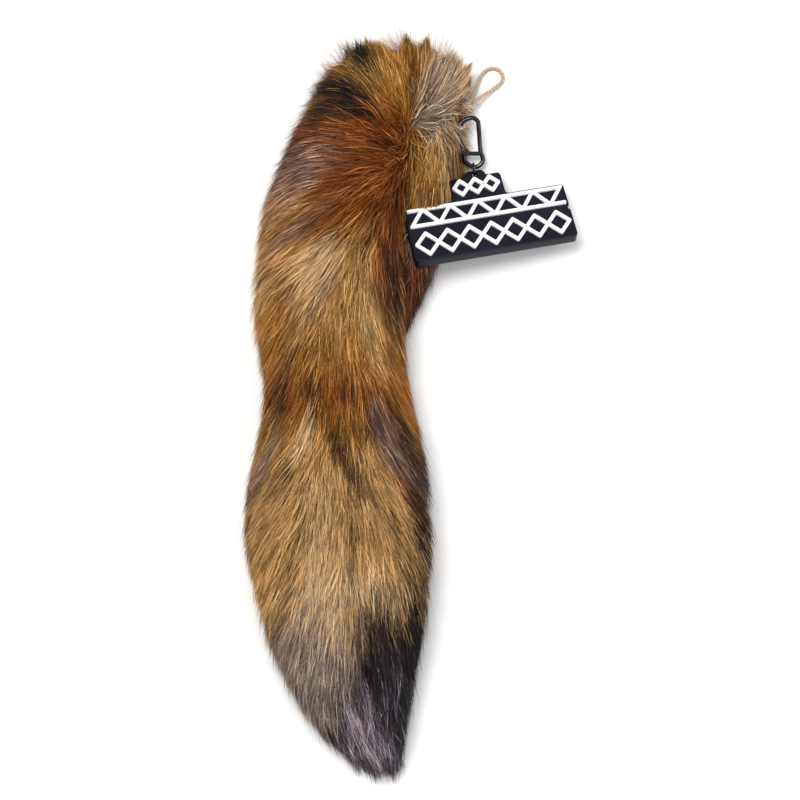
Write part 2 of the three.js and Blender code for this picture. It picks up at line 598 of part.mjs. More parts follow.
// The twine: out of the root, through the knot, round the free loop, back through the knot, through the
// clasp's hook and into the root again. Places are millimetres from the knot's centre.
const loopAlong = new THREE.Vector3(Math.cos(radians(LOOP_DIRECTION)), Math.sin(radians(LOOP_DIRECTION)), 0);
const loopAcross = new THREE.Vector3(-loopAlong.y, loopAlong.x, 0);
const halfPitch = STRAND_PITCH / 2;
const floorLevel = TWINE_DIAMETER / 2 + FLOOR_GAP - knotPlace.z;
const ROOT_TO_KNOT = [
  [-13.7, -2.4, 5.3],
  [-10.2, -3.5, 4.6],
  [-6.8, -4, 2.4],
];
const LOOP_ROUTE = [
  { along: -4, across: halfPitch, drop: 0 },
  { along: 0, across: halfPitch, drop: 0 },
  { along: 4, across: halfPitch, drop: 0 },
  { along: 8.4, across: 2.4, drop: 0.26 },
  { along: 16.4, across: 5.3, drop: 0.72 },
  { along: 23.2, across: 6.7, drop: 0.93 },
  { along: 27.4, across: 5.8, drop: 1 },
  { along: 29.9, across: 3.4, drop: 1 },
  { along: 30.5, across: 0, drop: 1 },
  { along: 28.9, across: -3.3, drop: 1 },
  { along: 25.5, across: -4.6, drop: 1 },
  { along: 21.6, across: -4.2, drop: 0.92 },
  { along: 16.4, across: -2.9, drop: 0.72 },
  { along: 8.4, across: -1.5, drop: 0.26 },
  { along: 4, across: -halfPitch, drop: 0 },
  { along: 0, across: -halfPitch, drop: 0 },
  { along: -4, across: -halfPitch, drop: 0 },
];
const KNOT_TO_ROOT = [
  [-1.7, -7, 0],
  [-1, -9.6, 0.8],
  [-1.4, -12, 3],
  [-3.8, -13.2, 5.4],
  [-7.1, -12.6, 6.6],
  [-10.3, -11, 6.6],
  [-13.2, -9.4, 6.2],
];

function twineRoute() {
  const fromKnot = ([x, y, z]) => knotPlace.clone().add(new THREE.Vector3(x, y, z));
  const loop = LOOP_ROUTE.map(({ along, across, drop }) => {
    const place = knotPlace.clone().addScaledVector(loopAlong, along).addScaledVector(loopAcross, across);
    return place.setZ(knotPlace.z + drop * floorLevel);
  });
  return [...ROOT_TO_KNOT.map(fromKnot), ...loop, ...KNOT_TO_ROOT.map(fromKnot)];
}

// A tube of twine of a given radius along a route.
function twineTube(route, radius, steps) {
  const path = new THREE.CatmullRomCurve3(route, false, "centripetal");
  const section = new THREE.Shape().absarc(0, 0, radius, 0, 2 * Math.PI);
  return new THREE.ExtrudeGeometry(section, {
    steps,
    curveSegments: TWINE_SIDES / 2,
    extrudePath: path,
    bevelEnabled: false,
  });
}

const route = twineRoute();
const twineWay = solidOf(twineTube(route, TWINE_DIAMETER / 2 + SEAT_GAP, TWINE_STEPS));
const knotTurned = new THREE.Matrix4().makeRotationZ(radians(LOOP_DIRECTION)).setPosition(knotPlace);

// The knot: a rounded bundle round both strands, flat at its two ends, with a way through for each strand.
function knotSolid() {
  const bundle = new THREE.SphereGeometry(1, 14, 10);
  const shape = new THREE.Matrix4().makeScale(KNOT_LENGTH * KNOT_FULLNESS, KNOT_WIDTH / 2, KNOT_HEIGHT / 2);
  const middle = new THREE.BoxGeometry(KNOT_LENGTH, 2 * KNOT_WIDTH, 2 * KNOT_HEIGHT);
  return solidOf(bundle, shape.premultiply(knotTurned)).intersect(solidOf(middle, knotTurned)).subtract(twineWay);
}

const twine = piece("twine_loop", twineTube(route, TWINE_DIAMETER / 2, TWINE_STEPS), 0xc9a877, 0.9);
const knot = piece("twine_knot", geometryOf(knotSolid()), 0xc9a877, 0.9);

// The tail: body, lobe, locks and tufts in one, less the hollows where the other pieces lie in the fur.
function tailSolid() {
  const bodies = [bodySolid(BODY_SECTIONS, BODY_TIP), bodySolid(LOBE_SECTIONS, LOBE_TIP)];
  const locks = [...bodyLocks(BODY_SECTIONS), ...bodyLocks(LOBE_SECTIONS), ...TUFTS.map(tuftSolid)];
  const claspBlock = new THREE.BoxGeometry(
    CLASP_WIDTH + 2 * FUR_GAP,
    CLASP_LENGTH + 2 * FUR_GAP,
    LUG_THICKNESS + 2 * FUR_GAP,
  );
  const ringWay = RING_DIAMETER / 2 + FUR_GAP;
  const ringBlock = new THREE.CylinderGeometry(ringWay, ringWay, RING_POCKET, 12);
  const ringTurned = new THREE.Matrix4().makeRotationZ(Math.PI / 2 + ringTurn).setPosition(ringCentre);
  const knotBlock = new THREE.BoxGeometry(KNOT_LENGTH + KNOT_POCKET, KNOT_WIDTH + 2 * FUR_GAP, KNOT_HEIGHT + 2 * FUR_GAP);
  const overRelief = new THREE.Matrix4().makeTranslation(0, 0, RELIEF_HEIGHT + SEAT_GAP);
  const charmBlock = charmBody(FUR_GAP);
  const cut = joined([...bodies, ...locks])
    .subtract(charmBlock.transform(charm.matrixWorld.elements))
    .subtract(charmBlock.transform(overRelief.premultiply(charm.matrixWorld).elements))
    .subtract(solidOf(claspBlock, clasp.matrixWorld))
    .subtract(solidOf(ringBlock, ringTurned))
    .subtract(twineWay)
    .subtract(solidOf(knotBlock, knotTurned));
  return mainShell(cut);
}

const tail = piece("tail_fur", geometryOf(tailSolid()), 0x8a5a2c, 0.85);

const part = new THREE.Group();
part.add(tail, twine, knot, clasp, jumpRing, charm);
export default part;
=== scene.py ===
import math

import bpy
import numpy as np
from mathutils import Matrix, Vector


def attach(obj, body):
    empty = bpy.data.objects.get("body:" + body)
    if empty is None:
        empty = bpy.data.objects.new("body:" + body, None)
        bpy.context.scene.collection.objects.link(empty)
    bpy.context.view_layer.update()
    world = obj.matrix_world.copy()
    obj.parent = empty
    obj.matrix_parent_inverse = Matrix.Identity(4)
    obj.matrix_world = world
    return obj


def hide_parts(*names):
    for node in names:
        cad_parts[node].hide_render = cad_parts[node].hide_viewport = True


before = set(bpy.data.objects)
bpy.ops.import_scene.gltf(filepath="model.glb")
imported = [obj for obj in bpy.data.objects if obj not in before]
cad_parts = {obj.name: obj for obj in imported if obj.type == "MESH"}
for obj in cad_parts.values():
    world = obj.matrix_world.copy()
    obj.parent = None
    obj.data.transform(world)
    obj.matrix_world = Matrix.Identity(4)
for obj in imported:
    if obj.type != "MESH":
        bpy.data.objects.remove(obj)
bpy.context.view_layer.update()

bl_info = {
    "name": "Costume fox tail",
    "version": (1, 0, 0),
    "blender": (4, 5, 0),
    "location": "3D View > Sidebar > Fox tail",
    "description": "Builds a fox-like fur tail with its twine loop, snap clasp and rubber charm",
    "category": "Object",
}

MM = 0.001

# Camera: how it looks at the tail, and how many millimetres one pixel of an 800 pixel picture covers.
CAMERA_ELEVATION = 82
CAMERA_DISTANCE = 1100
CAMERA_TARGET = (30.25, 2.85, 12)
MM_PER_PIXEL = 0.55
PICTURE_PIXELS = 800
SENSOR_WIDTH = 36

# The tail's size in millimetres, and its sections from the root to the tip as shares of that size:
# left x, left y, right x, right y, height.
TAIL_SIZE = np.array([98.0, 410.0, 50.0])
WIDEST_LEVEL = 0.42
BODY_SECTIONS = np.array([
    (0.68, 0.44, 0.64, 0.4, 0.42),
    (0.57, 0.47, 0.54, 0.36, 0.62),
    (0.39, 0.48, 0.41, 0.32, 0.78),
    (0.16, 0.48, 0.33, 0.28, 0.88),
    (0, 0.46, 0.31, 0.245, 0.95),
    (-0.17, 0.39, 0.3, 0.21, 1),
    (-0.31, 0.32, 0.3, 0.175, 1),
    (-0.41, 0.255, 0.3, 0.14, 0.98),
    (-0.43, 0.19, 0.3, 0.105, 0.96),
    (-0.46, 0.13, 0.3, 0.075, 0.95),
    (-0.42, 0.065, 0.32, 0.03, 0.95),
    (-0.41, 0.005, 0.35, -0.01, 0.96),
    (-0.45, -0.055, 0.4, -0.065, 0.98),
    (-0.49, -0.115, 0.42, -0.13, 1),
    (-0.49, -0.185, 0.44, -0.19, 1),
    (-0.43, -0.25, 0.42, -0.25, 0.95),
    (-0.37, -0.305, 0.4, -0.3, 0.86),
    (-0.27, -0.36, 0.36, -0.35, 0.74),
    (-0.16, -0.405, 0.33, -0.405, 0.6),
    (-0.02, -0.445, 0.3, -0.44, 0.44),
    (0.12, -0.465, 0.26, -0.465, 0.28),
])
LOBE_SECTIONS = np.array([
    (0.54, 0.42, 0.62, 0.4, 0.42),
    (0.46, 0.38, 0.63, 0.365, 0.52),
    (0.39, 0.35, 0.64, 0.335, 0.56),
    (0.35, 0.315, 0.62, 0.305, 0.54),
    (0.32, 0.28, 0.58, 0.275, 0.5),
    (0.31, 0.235, 0.53, 0.225, 0.46),
    (0.29, 0.185, 0.46, 0.185, 0.41),
    (0.29, 0.145, 0.39, 0.145, 0.36),
    (0.28, 0.11, 0.33, 0.115, 0.28),
])

# Which way the hair lies, seen from above: x and y in millimetres, and a heading in degrees that is 0
# to the right, 90 towards the root and 270 towards the tip.
BODY_FLOW = np.array([
    (35, 190, 95), (46, 182, 78), (60, 178, 55), (22, 186, 112), (9, 182, 135), (1, 171, 158),
    (-10, 158, 180), (19, 160, 142), (1, 136, 183), (27, 133, 176), (-23, 131, 206), (-31, 109, 218),
    (1, 109, 205), (25, 109, 207), (-21, 91, 214), (11, 96, 227), (26, 87, 252), (-10, 75, 237),
    (-38, 71, 231), (18, 69, 270), (1, 53, 256), (-37, 43, 246), (29, 48, 272), (-42, 31, 254),
    (-2, 28, 268), (25, 28, 285), (33, 5, 291), (-29, 1, 260), (-2, -2, 270), (-29, -30, 248),
    (-47, -48, 238), (-2, -39, 272), (33, -39, 297), (38, -57, 289), (-40, -75, 243), (-2, -84, 268),
    (34, -84, 280), (-36, -116, 243), (-24, -129, 256), (-8, -137, 268), (24, -129, 273),
    (36, -110, 270), (-17, -159, 281), (-1, -167, 289), (15, -184, 297), (28, -191, 293),
    (31, -159, 262), (60, 170, 66), (51, 166, 68), (57, 150, 300), (42, 172, 92), (30, 166, 118),
    (50, 142, 290), (60, 160, 20),
], float)
# The same beside the parting near the root, where the hair turns sharply.
PARTING_FLOW = np.array([
    (38, 163, 110), (35, 155, 134), (32.5, 147, 155), (31, 139, 170), (30, 130, 180), (30, 121, 190),
    (29, 111, 208), (44, 162, 86), (45, 152, 315), (42, 144, 286), (39, 134, 273), (37.5, 122, 268),
    (36.5, 112, 264),
], float)
FLOW_REACH = 10.0
PARTING_REACH = 3.6
LOBE_FLOW = np.array([
    (60, 163, 10), (52, 160, 300), (39, 147, 262), (44, 131, 258), (55, 125, 268), (61, 134, 282),
    (57, 106, 264), (41, 63, 250), (30, 41, 262), (34, 110, 262), (50, 85, 262),
], float)

# Colours of the coat, as screen colours from 0 to 255.
COLOURS = {
    "rust": (122, 59, 2),
    "ochre": (146, 96, 24),
    "gold": (176, 133, 74),
    "tan": (166, 126, 76),
    "cream": (214, 180, 136),
    "ash": (124, 114, 107),
    "beige": (184, 163, 138),
    "umber": (54, 25, 9),
    "soot": (11, 8, 10),
    "slate": (22, 19, 28),
    "mauve": (110, 88, 84),
    "lilac": (150, 142, 162),
}

# Colour along the tail: y in millimetres from the root to the tip.
COAT_BANDS = [
    (205, "ochre"), (168, "ochre"), (150, "rust"), (110, "rust"), (92, "ochre"), (72, "tan"),
    (40, "tan"), (18, "ochre"), (4, "rust"), (-14, "ochre"), (-40, "tan"), (-80, "tan"),
    (-100, "gold"), (-118, "tan"), (-135, "ash"), (-160, "mauve"), (-185, "slate"), (-200, "slate"),
]

# Patches on the coat: x, y, half length, half width, heading of the length, colour, strength.
COAT_PATCHES = [
    (3, 135, 32, 22, 190, "rust", 0.75),
    (15, 180, 14, 10, 150, "gold", 0.35),
    (0, 181, 14, 7, 142, "umber", 0.55),
    (8.5, 192, 14, 8.5, 126, "soot", 1.0),
    (-6, 171, 22, 8, 160, "soot", 0.95),
    (-1, 160, 16, 7, 172, "soot", 0.95),
    (-15, 160, 12, 6, 200, "soot", 0.7),
    (-21, 148, 26, 5, 235, "umber", 0.8),
    # A mauve patch: the hair's grey tint, partly a painted sheen.
    (-20, 128, 17, 12, 210, "mauve", 0.7),
    (-34, 106, 17, 10, 215, "cream", 0.35),
    (-31, 114, 12, 8, 215, "mauve", 0.3),
    (-39, 126, 26, 3, 246, "umber", 0.65),
    (-49, 64, 12, 2.5, 262, "umber", 0.6),
    (-24, 92, 24, 5, 212, "mauve", 0.6),
    (4, 99, 27, 9, 205, "rust", 0.8),
    (-14, 70, 18, 10, 243, "cream", 0.8),
    (4, 52, 20, 10, 262, "ochre", 0.4),
    (17, 92, 10, 4.5, 250, "umber", 1.0),
    (25, 82, 26, 9, 265, "rust", 0.95),
    (27, 62, 28, 8, 268, "rust", 0.6),
    (26, 62, 24, 6, 268, "umber", 0.95),
    (-36, 42, 15, 11, 246, "ochre", 0.95),
    (-36, 38, 12, 7, 246, "rust", 0.3),
    (-12, 54, 9, 3, 255, "mauve", 0.5),
    (-22, 6, 20, 12, 340, "rust", 0.65),
    (10, 0, 22, 10, 350, "rust", 0.6),
    (-33, 4, 22, 3.5, 265, "umber", 1.0),
    (-17, 8, 10, 5, 270, "umber", 0.9),
    (4, 6, 8, 3, 268, "umber", 0.6),
    (0, -31, 20, 4, 296, "umber", 1.0),
    (17, -13, 13, 6, 290, "umber", 0.9),
    (32, -34, 30, 8, 297, "mauve", 0.85),
    (33, -24, 22, 5, 292, "umber", 0.75),
    (34, -50, 12, 5, 292, "rust", 0.7),
    (41, -66, 28, 5, 280, "soot", 0.95),
    (44, -40, 20, 4, 285, "slate", 0.8),
    # A small cream patch: pale hair, partly a painted highlight.
    (-19, -19, 10, 4, 260, "cream", 0.9),
    (-45, -39, 22, 4, 240, "mauve", 0.7),
    (-51, -60, 28, 3, 268, "umber", 0.6),
    (-34, -45, 13, 4, 240, "umber", 0.5),
    (0, -98, 36, 14, 0, "gold", 0.6),
    (-6, -108, 30, 12, 268, "cream", 0.4),
    (2, -104, 34, 8, 0, "beige", 0.55),
    (-14, -104, 24, 5, 272, "cream", 0.5),
    (-12, -60, 24, 8, 262, "cream", 0.3),
    (12, -52, 22, 7, 272, "umber", 0.25),
    (-20, -72, 26, 4, 250, "umber", 0.35),
    (6, -84, 26, 3, 268, "umber", 0.35),
    (-14, 30, 20, 8, 262, "ochre", 0.5),
    (14, 34, 22, 4, 284, "cream", 0.3),
    (-6, 66, 7, 5, 250, "mauve", 0.5),
    (31, -78, 19, 3.5, 285, "umber", 0.6),
    (-17, -142, 27, 15, 274, "ash", 0.85),
    (25, -150, 40, 17, 272, "slate", 0.97),
    (38, -140, 50, 9, 266, "soot", 0.97),
    (22, -141, 25, 12, 276, "soot", 0.85),
    (-4, -160, 20, 10, 280, "ash", 0.6),
    (14, -186, 30, 14, 292, "slate", 0.7),
    (14, -190, 26, 13, 292, "lilac", 0.28),
    (6, -173, 16, 3.5, 298, "lilac", 0.6),
    (15, -170, 16, 2.5, 287, "lilac", 0.55),
    (30, -165, 30, 12, 285, "lilac", 0.1),
    (-41, -124, 9, 5, 240, "umber", 0.5),
    (42, 130, 28, 8, 270, "ochre", 0.9),
    (42, 128, 24, 5, 270, "gold", 0.45),
    (33.5, 134, 24, 1.8, 278, "umber", 0.7),
    (19, 138, 8, 1.6, 178, "soot", 0.8),
    (27, 112, 4, 2.5, 250, "soot", 0.7),
    (37, 176, 9, 3, 90, "umber", 0.8),
    (43, 168, 12, 3, 85, "umber", 0.5),
    (34, 204, 5, 4, 90, "soot", 0.75),
    (46, 203, 5, 4, 90, "umber", 0.7),
    (55, 172, 26, 12, 80, "beige", 0.95),
    (48, 175, 14, 3, 85, "mauve", 0.8),
    (57, 148, 14, 10, 300, "beige", 0.85),
]
LOBE_BANDS = [
    (175, "beige"), (150, "tan"), (120, "ochre"), (105, "tan"), (90, "mauve"), (70, "umber"), (40, "umber"),
]
LOBE_PATCHES = [
    (57, 160, 20, 12, 280, "beige", 0.9),
    (58, 130, 20, 6, 275, "cream", 0.35),
    (36, 130, 22, 6, 265, "ochre", 0.8),
    (38, 72, 26, 5, 258, "rust", 0.5),
]

# Tufts that break the outline at the root and the tip: root x, y, z, tip x, y, z and width, in millimetres.
TUFTS = np.array([
    (13, 178, 31, 7, 203, 26, 9),
    (16, 180, 31, 11, 205, 26, 9),
    (21, 183, 30, 15, 202, 26, 9),
    (34, 184, 30, 33, 207, 26, 6),
    (38, 184, 30, 36, 202, 26, 6),
    (44, 183, 29, 45, 206, 25, 6),
    (54, 176, 24, 56, 189, 20, 8),
    (58, 176, 21, 71, 194, 15, 5),
    (63, 174, 16, 70, 187, 11, 5),
    (6, -176, 12, 8, -200, 4, 9),
    (14, -178, 14, 17, -204, 5, 10),
    (23, -178, 13, 27, -204, 5, 9),
    (18, -176, 18, 20, -201, 8, 9),
], float)

# Twine: the knot's place, the free loop's heading, and the route in millimetres.
KNOT_PLACE = np.array([67.62, 169.617, 8.0])
LOOP_HEADING = 50
TWINE_DIAMETER = 2.0
FLOOR_DROP = TWINE_DIAMETER / 2 + 0.05 - KNOT_PLACE[2]
ROOT_TO_KNOT = [(-13.7, -2.4, 5.3), (-10.2, -3.5, 4.6), (-6.8, -4, 2.4)]
LOOP_ROUTE = [
    (-4, 1.25, 0), (0, 1.25, 0), (4, 1.25, 0), (8.4, 2.4, 0.26), (16.4, 5.3, 0.72), (23.2, 6.7, 0.93),
    (27.4, 5.8, 1), (29.9, 3.4, 1), (30.5, 0, 1), (28.9, -3.3, 1), (25.5, -4.6, 1), (21.6, -4.2, 0.92),
    (16.4, -2.9, 0.72), (8.4, -1.5, 0.26), (4, -1.25, 0), (0, -1.25, 0), (-4, -1.25, 0),
]
KNOT_TO_ROOT = [
    (-1.7, -7, 0), (-1, -9.6, 0.8), (-1.4, -12, 3), (-3.8, -13.2, 5.4), (-7.1, -12.6, 6.6),
    (-10.3, -11, 6.6), (-13.2, -9.4, 6.2),
]

# Snap clasp in its own plane, in millimetres.
CLASP_LENGTH = 30.0
CLASP_WIDTH = 14.2
CLASP_WIRE = 2.6
CLASP_TURN = 4.8
CLASP_TILT = 14
CLASP_TOP_FROM_KNOT = np.array([0.5, -5.7, 3.6])
GATE_WIDTH = 2.3
GATE_THICKNESS = 1.6
PIN_DIAMETER = 1.5
LUG_DIAMETER = 4.4
LUG_THICKNESS = 4.0
HINGE_GAP = 0.25
SEAT_GAP = 0.3
CLASP_ROUTE = [
    (-0.97, 0.5), (-0.93, 0.7), (-0.53, 0.89), (0.03, 0.98), (0.55, 1), (0.91, 0.87), (1, 0.66),
    (1, -0.33), (1.14, -0.6), (1.16, -0.78), (0.85, -0.94), (0.42, -1), (-0.06, -0.94),
    (-0.61, -0.71), (-0.54, -0.42),
]
BRIDGE_ROUTE = [(-0.51, -0.4), (0.21, -0.45), (1, -0.47)]
PIVOT_SHARE = (-0.51, -0.36)
RING_SHARE = (0.21, -1)
RING_DIAMETER = 8.2
RING_WIRE = 1.1
RING_DROP = 0.04
PIN_HEADS = (0.2, 0.25)
PIN_EDGE = 0.2
LEVER_CORNER = 0.6
LEVER_EDGE = 0.35

# Rubber charm in its own plane, in millimetres.
CHARM_LENGTH = 92.0
CHARM_THICKNESS = 7.6
LOWER_TIER = 18.8
MIDDLE_TIER = 15.6
UPPER_TIER = 14.6
UPPER_LENGTH = 31.0
UPPER_SHIFT = -2.4
TIER_NOTCH = 1.6
CHARM_CORNER = 2.2
TAB_WIDTH = 14.0
TAB_HEIGHT = 5.2
TAB_THICKNESS = 2.2
TAB_BORE = 3.0
TAB_MARGIN = 1.3
TAB_SHIFT = -0.8
CHARM_TURN = 11.5
CHARM_PITCH = -20
CHARM_ROLL = 2
RELIEF_HEIGHT = 1.3
RELIEF_STROKE = 2.0
RELIEF_MARGIN = 1.7
RELIEF_SUNK = 0.4
RELIEF_EDGE = 0.28
LOZENGE_CORNERS = (1.2, 0.5)
ZIGZAG_CORNERS = (0.5, 0.4)
TAB_EDGE = 0.4
TAB_CORNER_SHARE = 0.22


# Settings of the add-on

class TailStageSettings(bpy.types.PropertyGroup):
    key_power: bpy.props.FloatProperty(name="Key power", description="Power of the large soft light",
                                       default=17.0, min=0.0, unit="POWER")
    fill_power: bpy.props.FloatProperty(name="Fill power", description="Power of the light on the right",
                                        default=5.0, min=0.0, unit="POWER")
    sky_strength: bpy.props.FloatProperty(name="Sky strength", description="Strength of the surroundings",
                                          default=0.62, min=0.0)


class TailTwineSettings(bpy.types.PropertyGroup):
    ply_turns: bpy.props.FloatProperty(name="Ply turns", description="Turns of the two plies for each metre",
                                       default=210.0, min=0.0)
    fibre_count: bpy.props.IntProperty(name="Fibres", description="Loose fibres that stand off the twine",
                                       default=1500, min=0)


class TailFurSettings(bpy.types.PropertyGroup):
    layers: bpy.props.IntProperty(name="Layers", description="Layers of guard hair", default=4, min=1, max=4)
    strands: bpy.props.IntProperty(name="Strands in a layer", description="Strands in each layer of fur",
                                   default=36000, min=100, max=36400)
    clump: bpy.props.IntProperty(name="Clump", description="Strands that share one pointed lock",
                                 default=9, min=1, max=40)
    length: bpy.props.FloatProperty(name="Guard hair", description="Length of the guard hair",
                                    default=0.034, min=0.005, unit="LENGTH")
    width: bpy.props.FloatProperty(name="Strand width", description="Width of a strand at its middle",
                                   default=0.00036, min=0.00005, unit="LENGTH")
    seed: bpy.props.IntProperty(name="Seed", description="Start of the random numbers", default=7)


class TailCharmSettings(bpy.types.PropertyGroup):
    edge: bpy.props.FloatProperty(name="Edge rounding", description="Rounding of the moulded edges",
                                  default=0.0007, min=0.0001, unit="LENGTH")


SETTINGS = {
    "tail_stage": TailStageSettings,
    "tail_twine": TailTwineSettings,
    "tail_fur": TailFurSettings,
    "tail_charm": TailCharmSettings,
}


# Meshes

# Length of the flat map for each millimetre of a tube, and how much of a side a rounded corner may take.
UV_PER_MM = 0.05
CORNER_SHARE = 0.45


def mesh_object(name, points, faces, uv=None, uv_name="surface"):
    """A smooth mesh from points in millimetres and an array of faces with equally many corners."""
    corners = faces.shape[1]
    mesh = bpy.data.meshes.new(name)
    mesh.vertices.add(len(points))
    mesh.vertices.foreach_set("co", (np.asarray(points) * MM).astype(np.float32).ravel())
    mesh.loops.add(faces.size)
    mesh.loops.foreach_set("vertex_index", faces.astype(np.int32).ravel())
    mesh.polygons.add(len(faces))
    mesh.polygons.foreach_set("loop_start", np.arange(0, faces.size, corners, dtype=np.int32))
    mesh.polygons.foreach_set("use_smooth", np.ones(len(faces), bool))
    mesh.update(calc_edges=True)
    if uv is not None:
        layer = mesh.uv_layers.new(name=uv_name)
        layer.data.foreach_set("uv", uv[faces.ravel()].astype(np.float32).ravel())
    mesh.validate()
    obj = bpy.data.objects.new(name, mesh)
    bpy.context.scene.collection.objects.link(obj)
    return obj


def grid_faces(rows, columns):
    """Quads of a grid of points, row by row, closed round its columns."""
    row = np.arange(rows - 1)[:, None]
    column = np.arange(columns)[None, :]
    after = (column + 1) % columns
    a = row * columns + column
    b = row * columns + after
    return np.stack([a, b, b + columns, a + columns], axis=-1).reshape(-1, 4)


def place(obj, matrix):
    """Moves a mesh's points from a plane of its own, in millimetres, to the tail's frame."""
    scaled = matrix.copy()
    scaled.translation = scaled.translation * MM
    obj.data.transform(scaled)
    return obj


def finish_piece(obj, body, material, replaced=()):
    """Gives a piece its material and body, and hides the solids that it stands for."""
    obj.data.materials.clear()
    obj.data.materials.append(material)
    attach(obj, body)
    if replaced:
        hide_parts(*replaced)
    return obj


def unit(vectors):
    """The same directions with a length of 1."""
    return vectors / np.maximum(np.linalg.norm(vectors, axis=-1, keepdims=True), 1e-9)


def smooth_route(points, count, power=0.5):
    """Points evenly spread in the parameter of a smooth curve through the given points. The knots lie
    apart by the chord to the given power: 0.5 is centripetal and 0 uniform."""
    points = np.asarray(points, float)
    ends = np.vstack([2 * points[0] - points[1], points, 2 * points[-1] - points[-2]])
    at = np.linspace(0, len(points) - 1, count)
    low = np.minimum(at.astype(int), len(points) - 2)
    t = (at - low)[:, None]
    a, b, c, d = (ends[low + k] for k in range(4))
    gap = [np.linalg.norm(q - p, axis=1, keepdims=True) ** power for p, q in ((a, b), (b, c), (c, d))]
    start = ((b - a) / gap[0] - (c - a) / (gap[0] + gap[1]) + (c - b) / gap[1]) * gap[1]
    end = ((c - b) / gap[1] - (d - b) / (gap[1] + gap[2]) + (d - c) / gap[2]) * gap[1]
    square = 3 * (c - b) - 2 * start - end
    cube = 2 * (b - c) + start + end
    return b + start * t + square * t ** 2 + cube * t ** 3


def walked_along(line):
    """How far along a line each of its points lies."""
    return np.concatenate([[0], np.cumsum(np.linalg.norm(np.diff(line, axis=0), axis=1))])


def sweep(name, line, radius, across, out, sides):
    """Tube of rings round a line. Ring k has its own radius for every side, in the directions across and
    out, and an end closes where its radius comes near zero: P = L + r (cos a across + sin a out)."""
    angle = np.linspace(0, 2 * np.pi, sides, endpoint=False)
    radius = np.broadcast_to(radius, (len(line), sides))
    ring = np.cos(angle)[None, :, None] * across[:, None] + np.sin(angle)[None, :, None] * out[:, None]
    points = line[:, None] + radius[..., None] * ring
    lengthways = walked_along(line)[:, None] * UV_PER_MM
    uv = np.stack(np.broadcast_arrays(angle[None, :] / (2 * np.pi), lengthways), axis=-1)
    return mesh_object(name, points.reshape(-1, 3), grid_faces(len(line), sides), uv.reshape(-1, 2))


def rounded_loop(corners, radius, steps=5):
    """A closed outline through corners, each corner rounded with a quadratic bend."""
    corners = np.asarray(corners, float)
    back = np.roll(corners, 1, axis=0) - corners
    on = np.roll(corners, -1, axis=0) - corners
    longest = np.minimum(np.linalg.norm(back, axis=1), np.linalg.norm(on, axis=1)) * CORNER_SHARE
    cut = np.minimum(radius, longest)[:, None]
    start, end = corners + unit(back) * cut, corners + unit(on) * cut
    t = np.linspace(0, 1, steps)[:, None, None]
    bend = (1 - t) ** 2 * start + 2 * t * (1 - t) * corners + t ** 2 * end
    return bend.transpose(1, 0, 2).reshape(-1, 2)


def slab(name, loops, low, high, edge, matrix):
    """A flat plate between two levels from closed loops, holes among them, with rounded edges."""
    curve = bpy.data.curves.new(name, "CURVE")
    curve.dimensions = "2D"
    curve.fill_mode = "BOTH"
    curve.extrude = (high - low) / 2 - edge
    curve.bevel_depth = edge
    curve.bevel_resolution = 4
    curve.offset = -edge
    for loop in loops:
        spline = curve.splines.new("POLY")
        spline.points.add(len(loop) - 1)
        flat = np.column_stack([loop, np.zeros(len(loop)), np.ones(len(loop))])
        spline.points.foreach_set("co", flat.astype(np.float32).ravel())
        spline.use_cyclic_u = True
    shaper = bpy.data.objects.new(name + "_outline", curve)
    bpy.context.scene.collection.objects.link(shaper)
    bpy.context.view_layer.update()
    mesh = bpy.data.meshes.new_from_object(shaper.evaluated_get(bpy.context.evaluated_depsgraph_get()))
    bpy.data.objects.remove(shaper)
    bpy.data.curves.remove(curve)
    mesh.name = name
    mesh.transform(Matrix.Translation((0, 0, (low + high) / 2)))
    mesh.transform(Matrix.Scale(MM, 4))
    obj = bpy.data.objects.new(name, mesh)
    bpy.context.scene.collection.objects.link(obj)
    return place(obj, matrix)


def join(objects, name):
    """Joins meshes into the first one."""
    with bpy.context.temp_override(active_object=objects[0], selected_editable_objects=objects):
        bpy.ops.object.join()
    objects[0].name = name
    objects[0].data.name = name
    return objects[0]


# Materials

def linear(colour):
    """A screen colour from 0 to 255 as linear light."""
    share = np.asarray(colour, float) / 255
    return np.where(share <= 0.04045, share / 12.92, ((share + 0.055) / 1.055) ** 2.4)


def new_material(name, roughness, metallic=0.0):
    """A material with its node tree and its main shader."""
    material = bpy.data.materials.new(name)
    material.use_nodes = True
    shader = material.node_tree.nodes["Principled BSDF"]
    shader.inputs["Roughness"].default_value = roughness
    shader.inputs["Metallic"].default_value = metallic
    return material, material.node_tree, shader


def add(tree, kind, **values):
    """A node with the given inputs and settings."""
    node = tree.nodes.new(kind)
    for key, value in values.items():
        if key in node.inputs:
            node.inputs[key].default_value = value
        else:
            setattr(node, key, value)
    return node


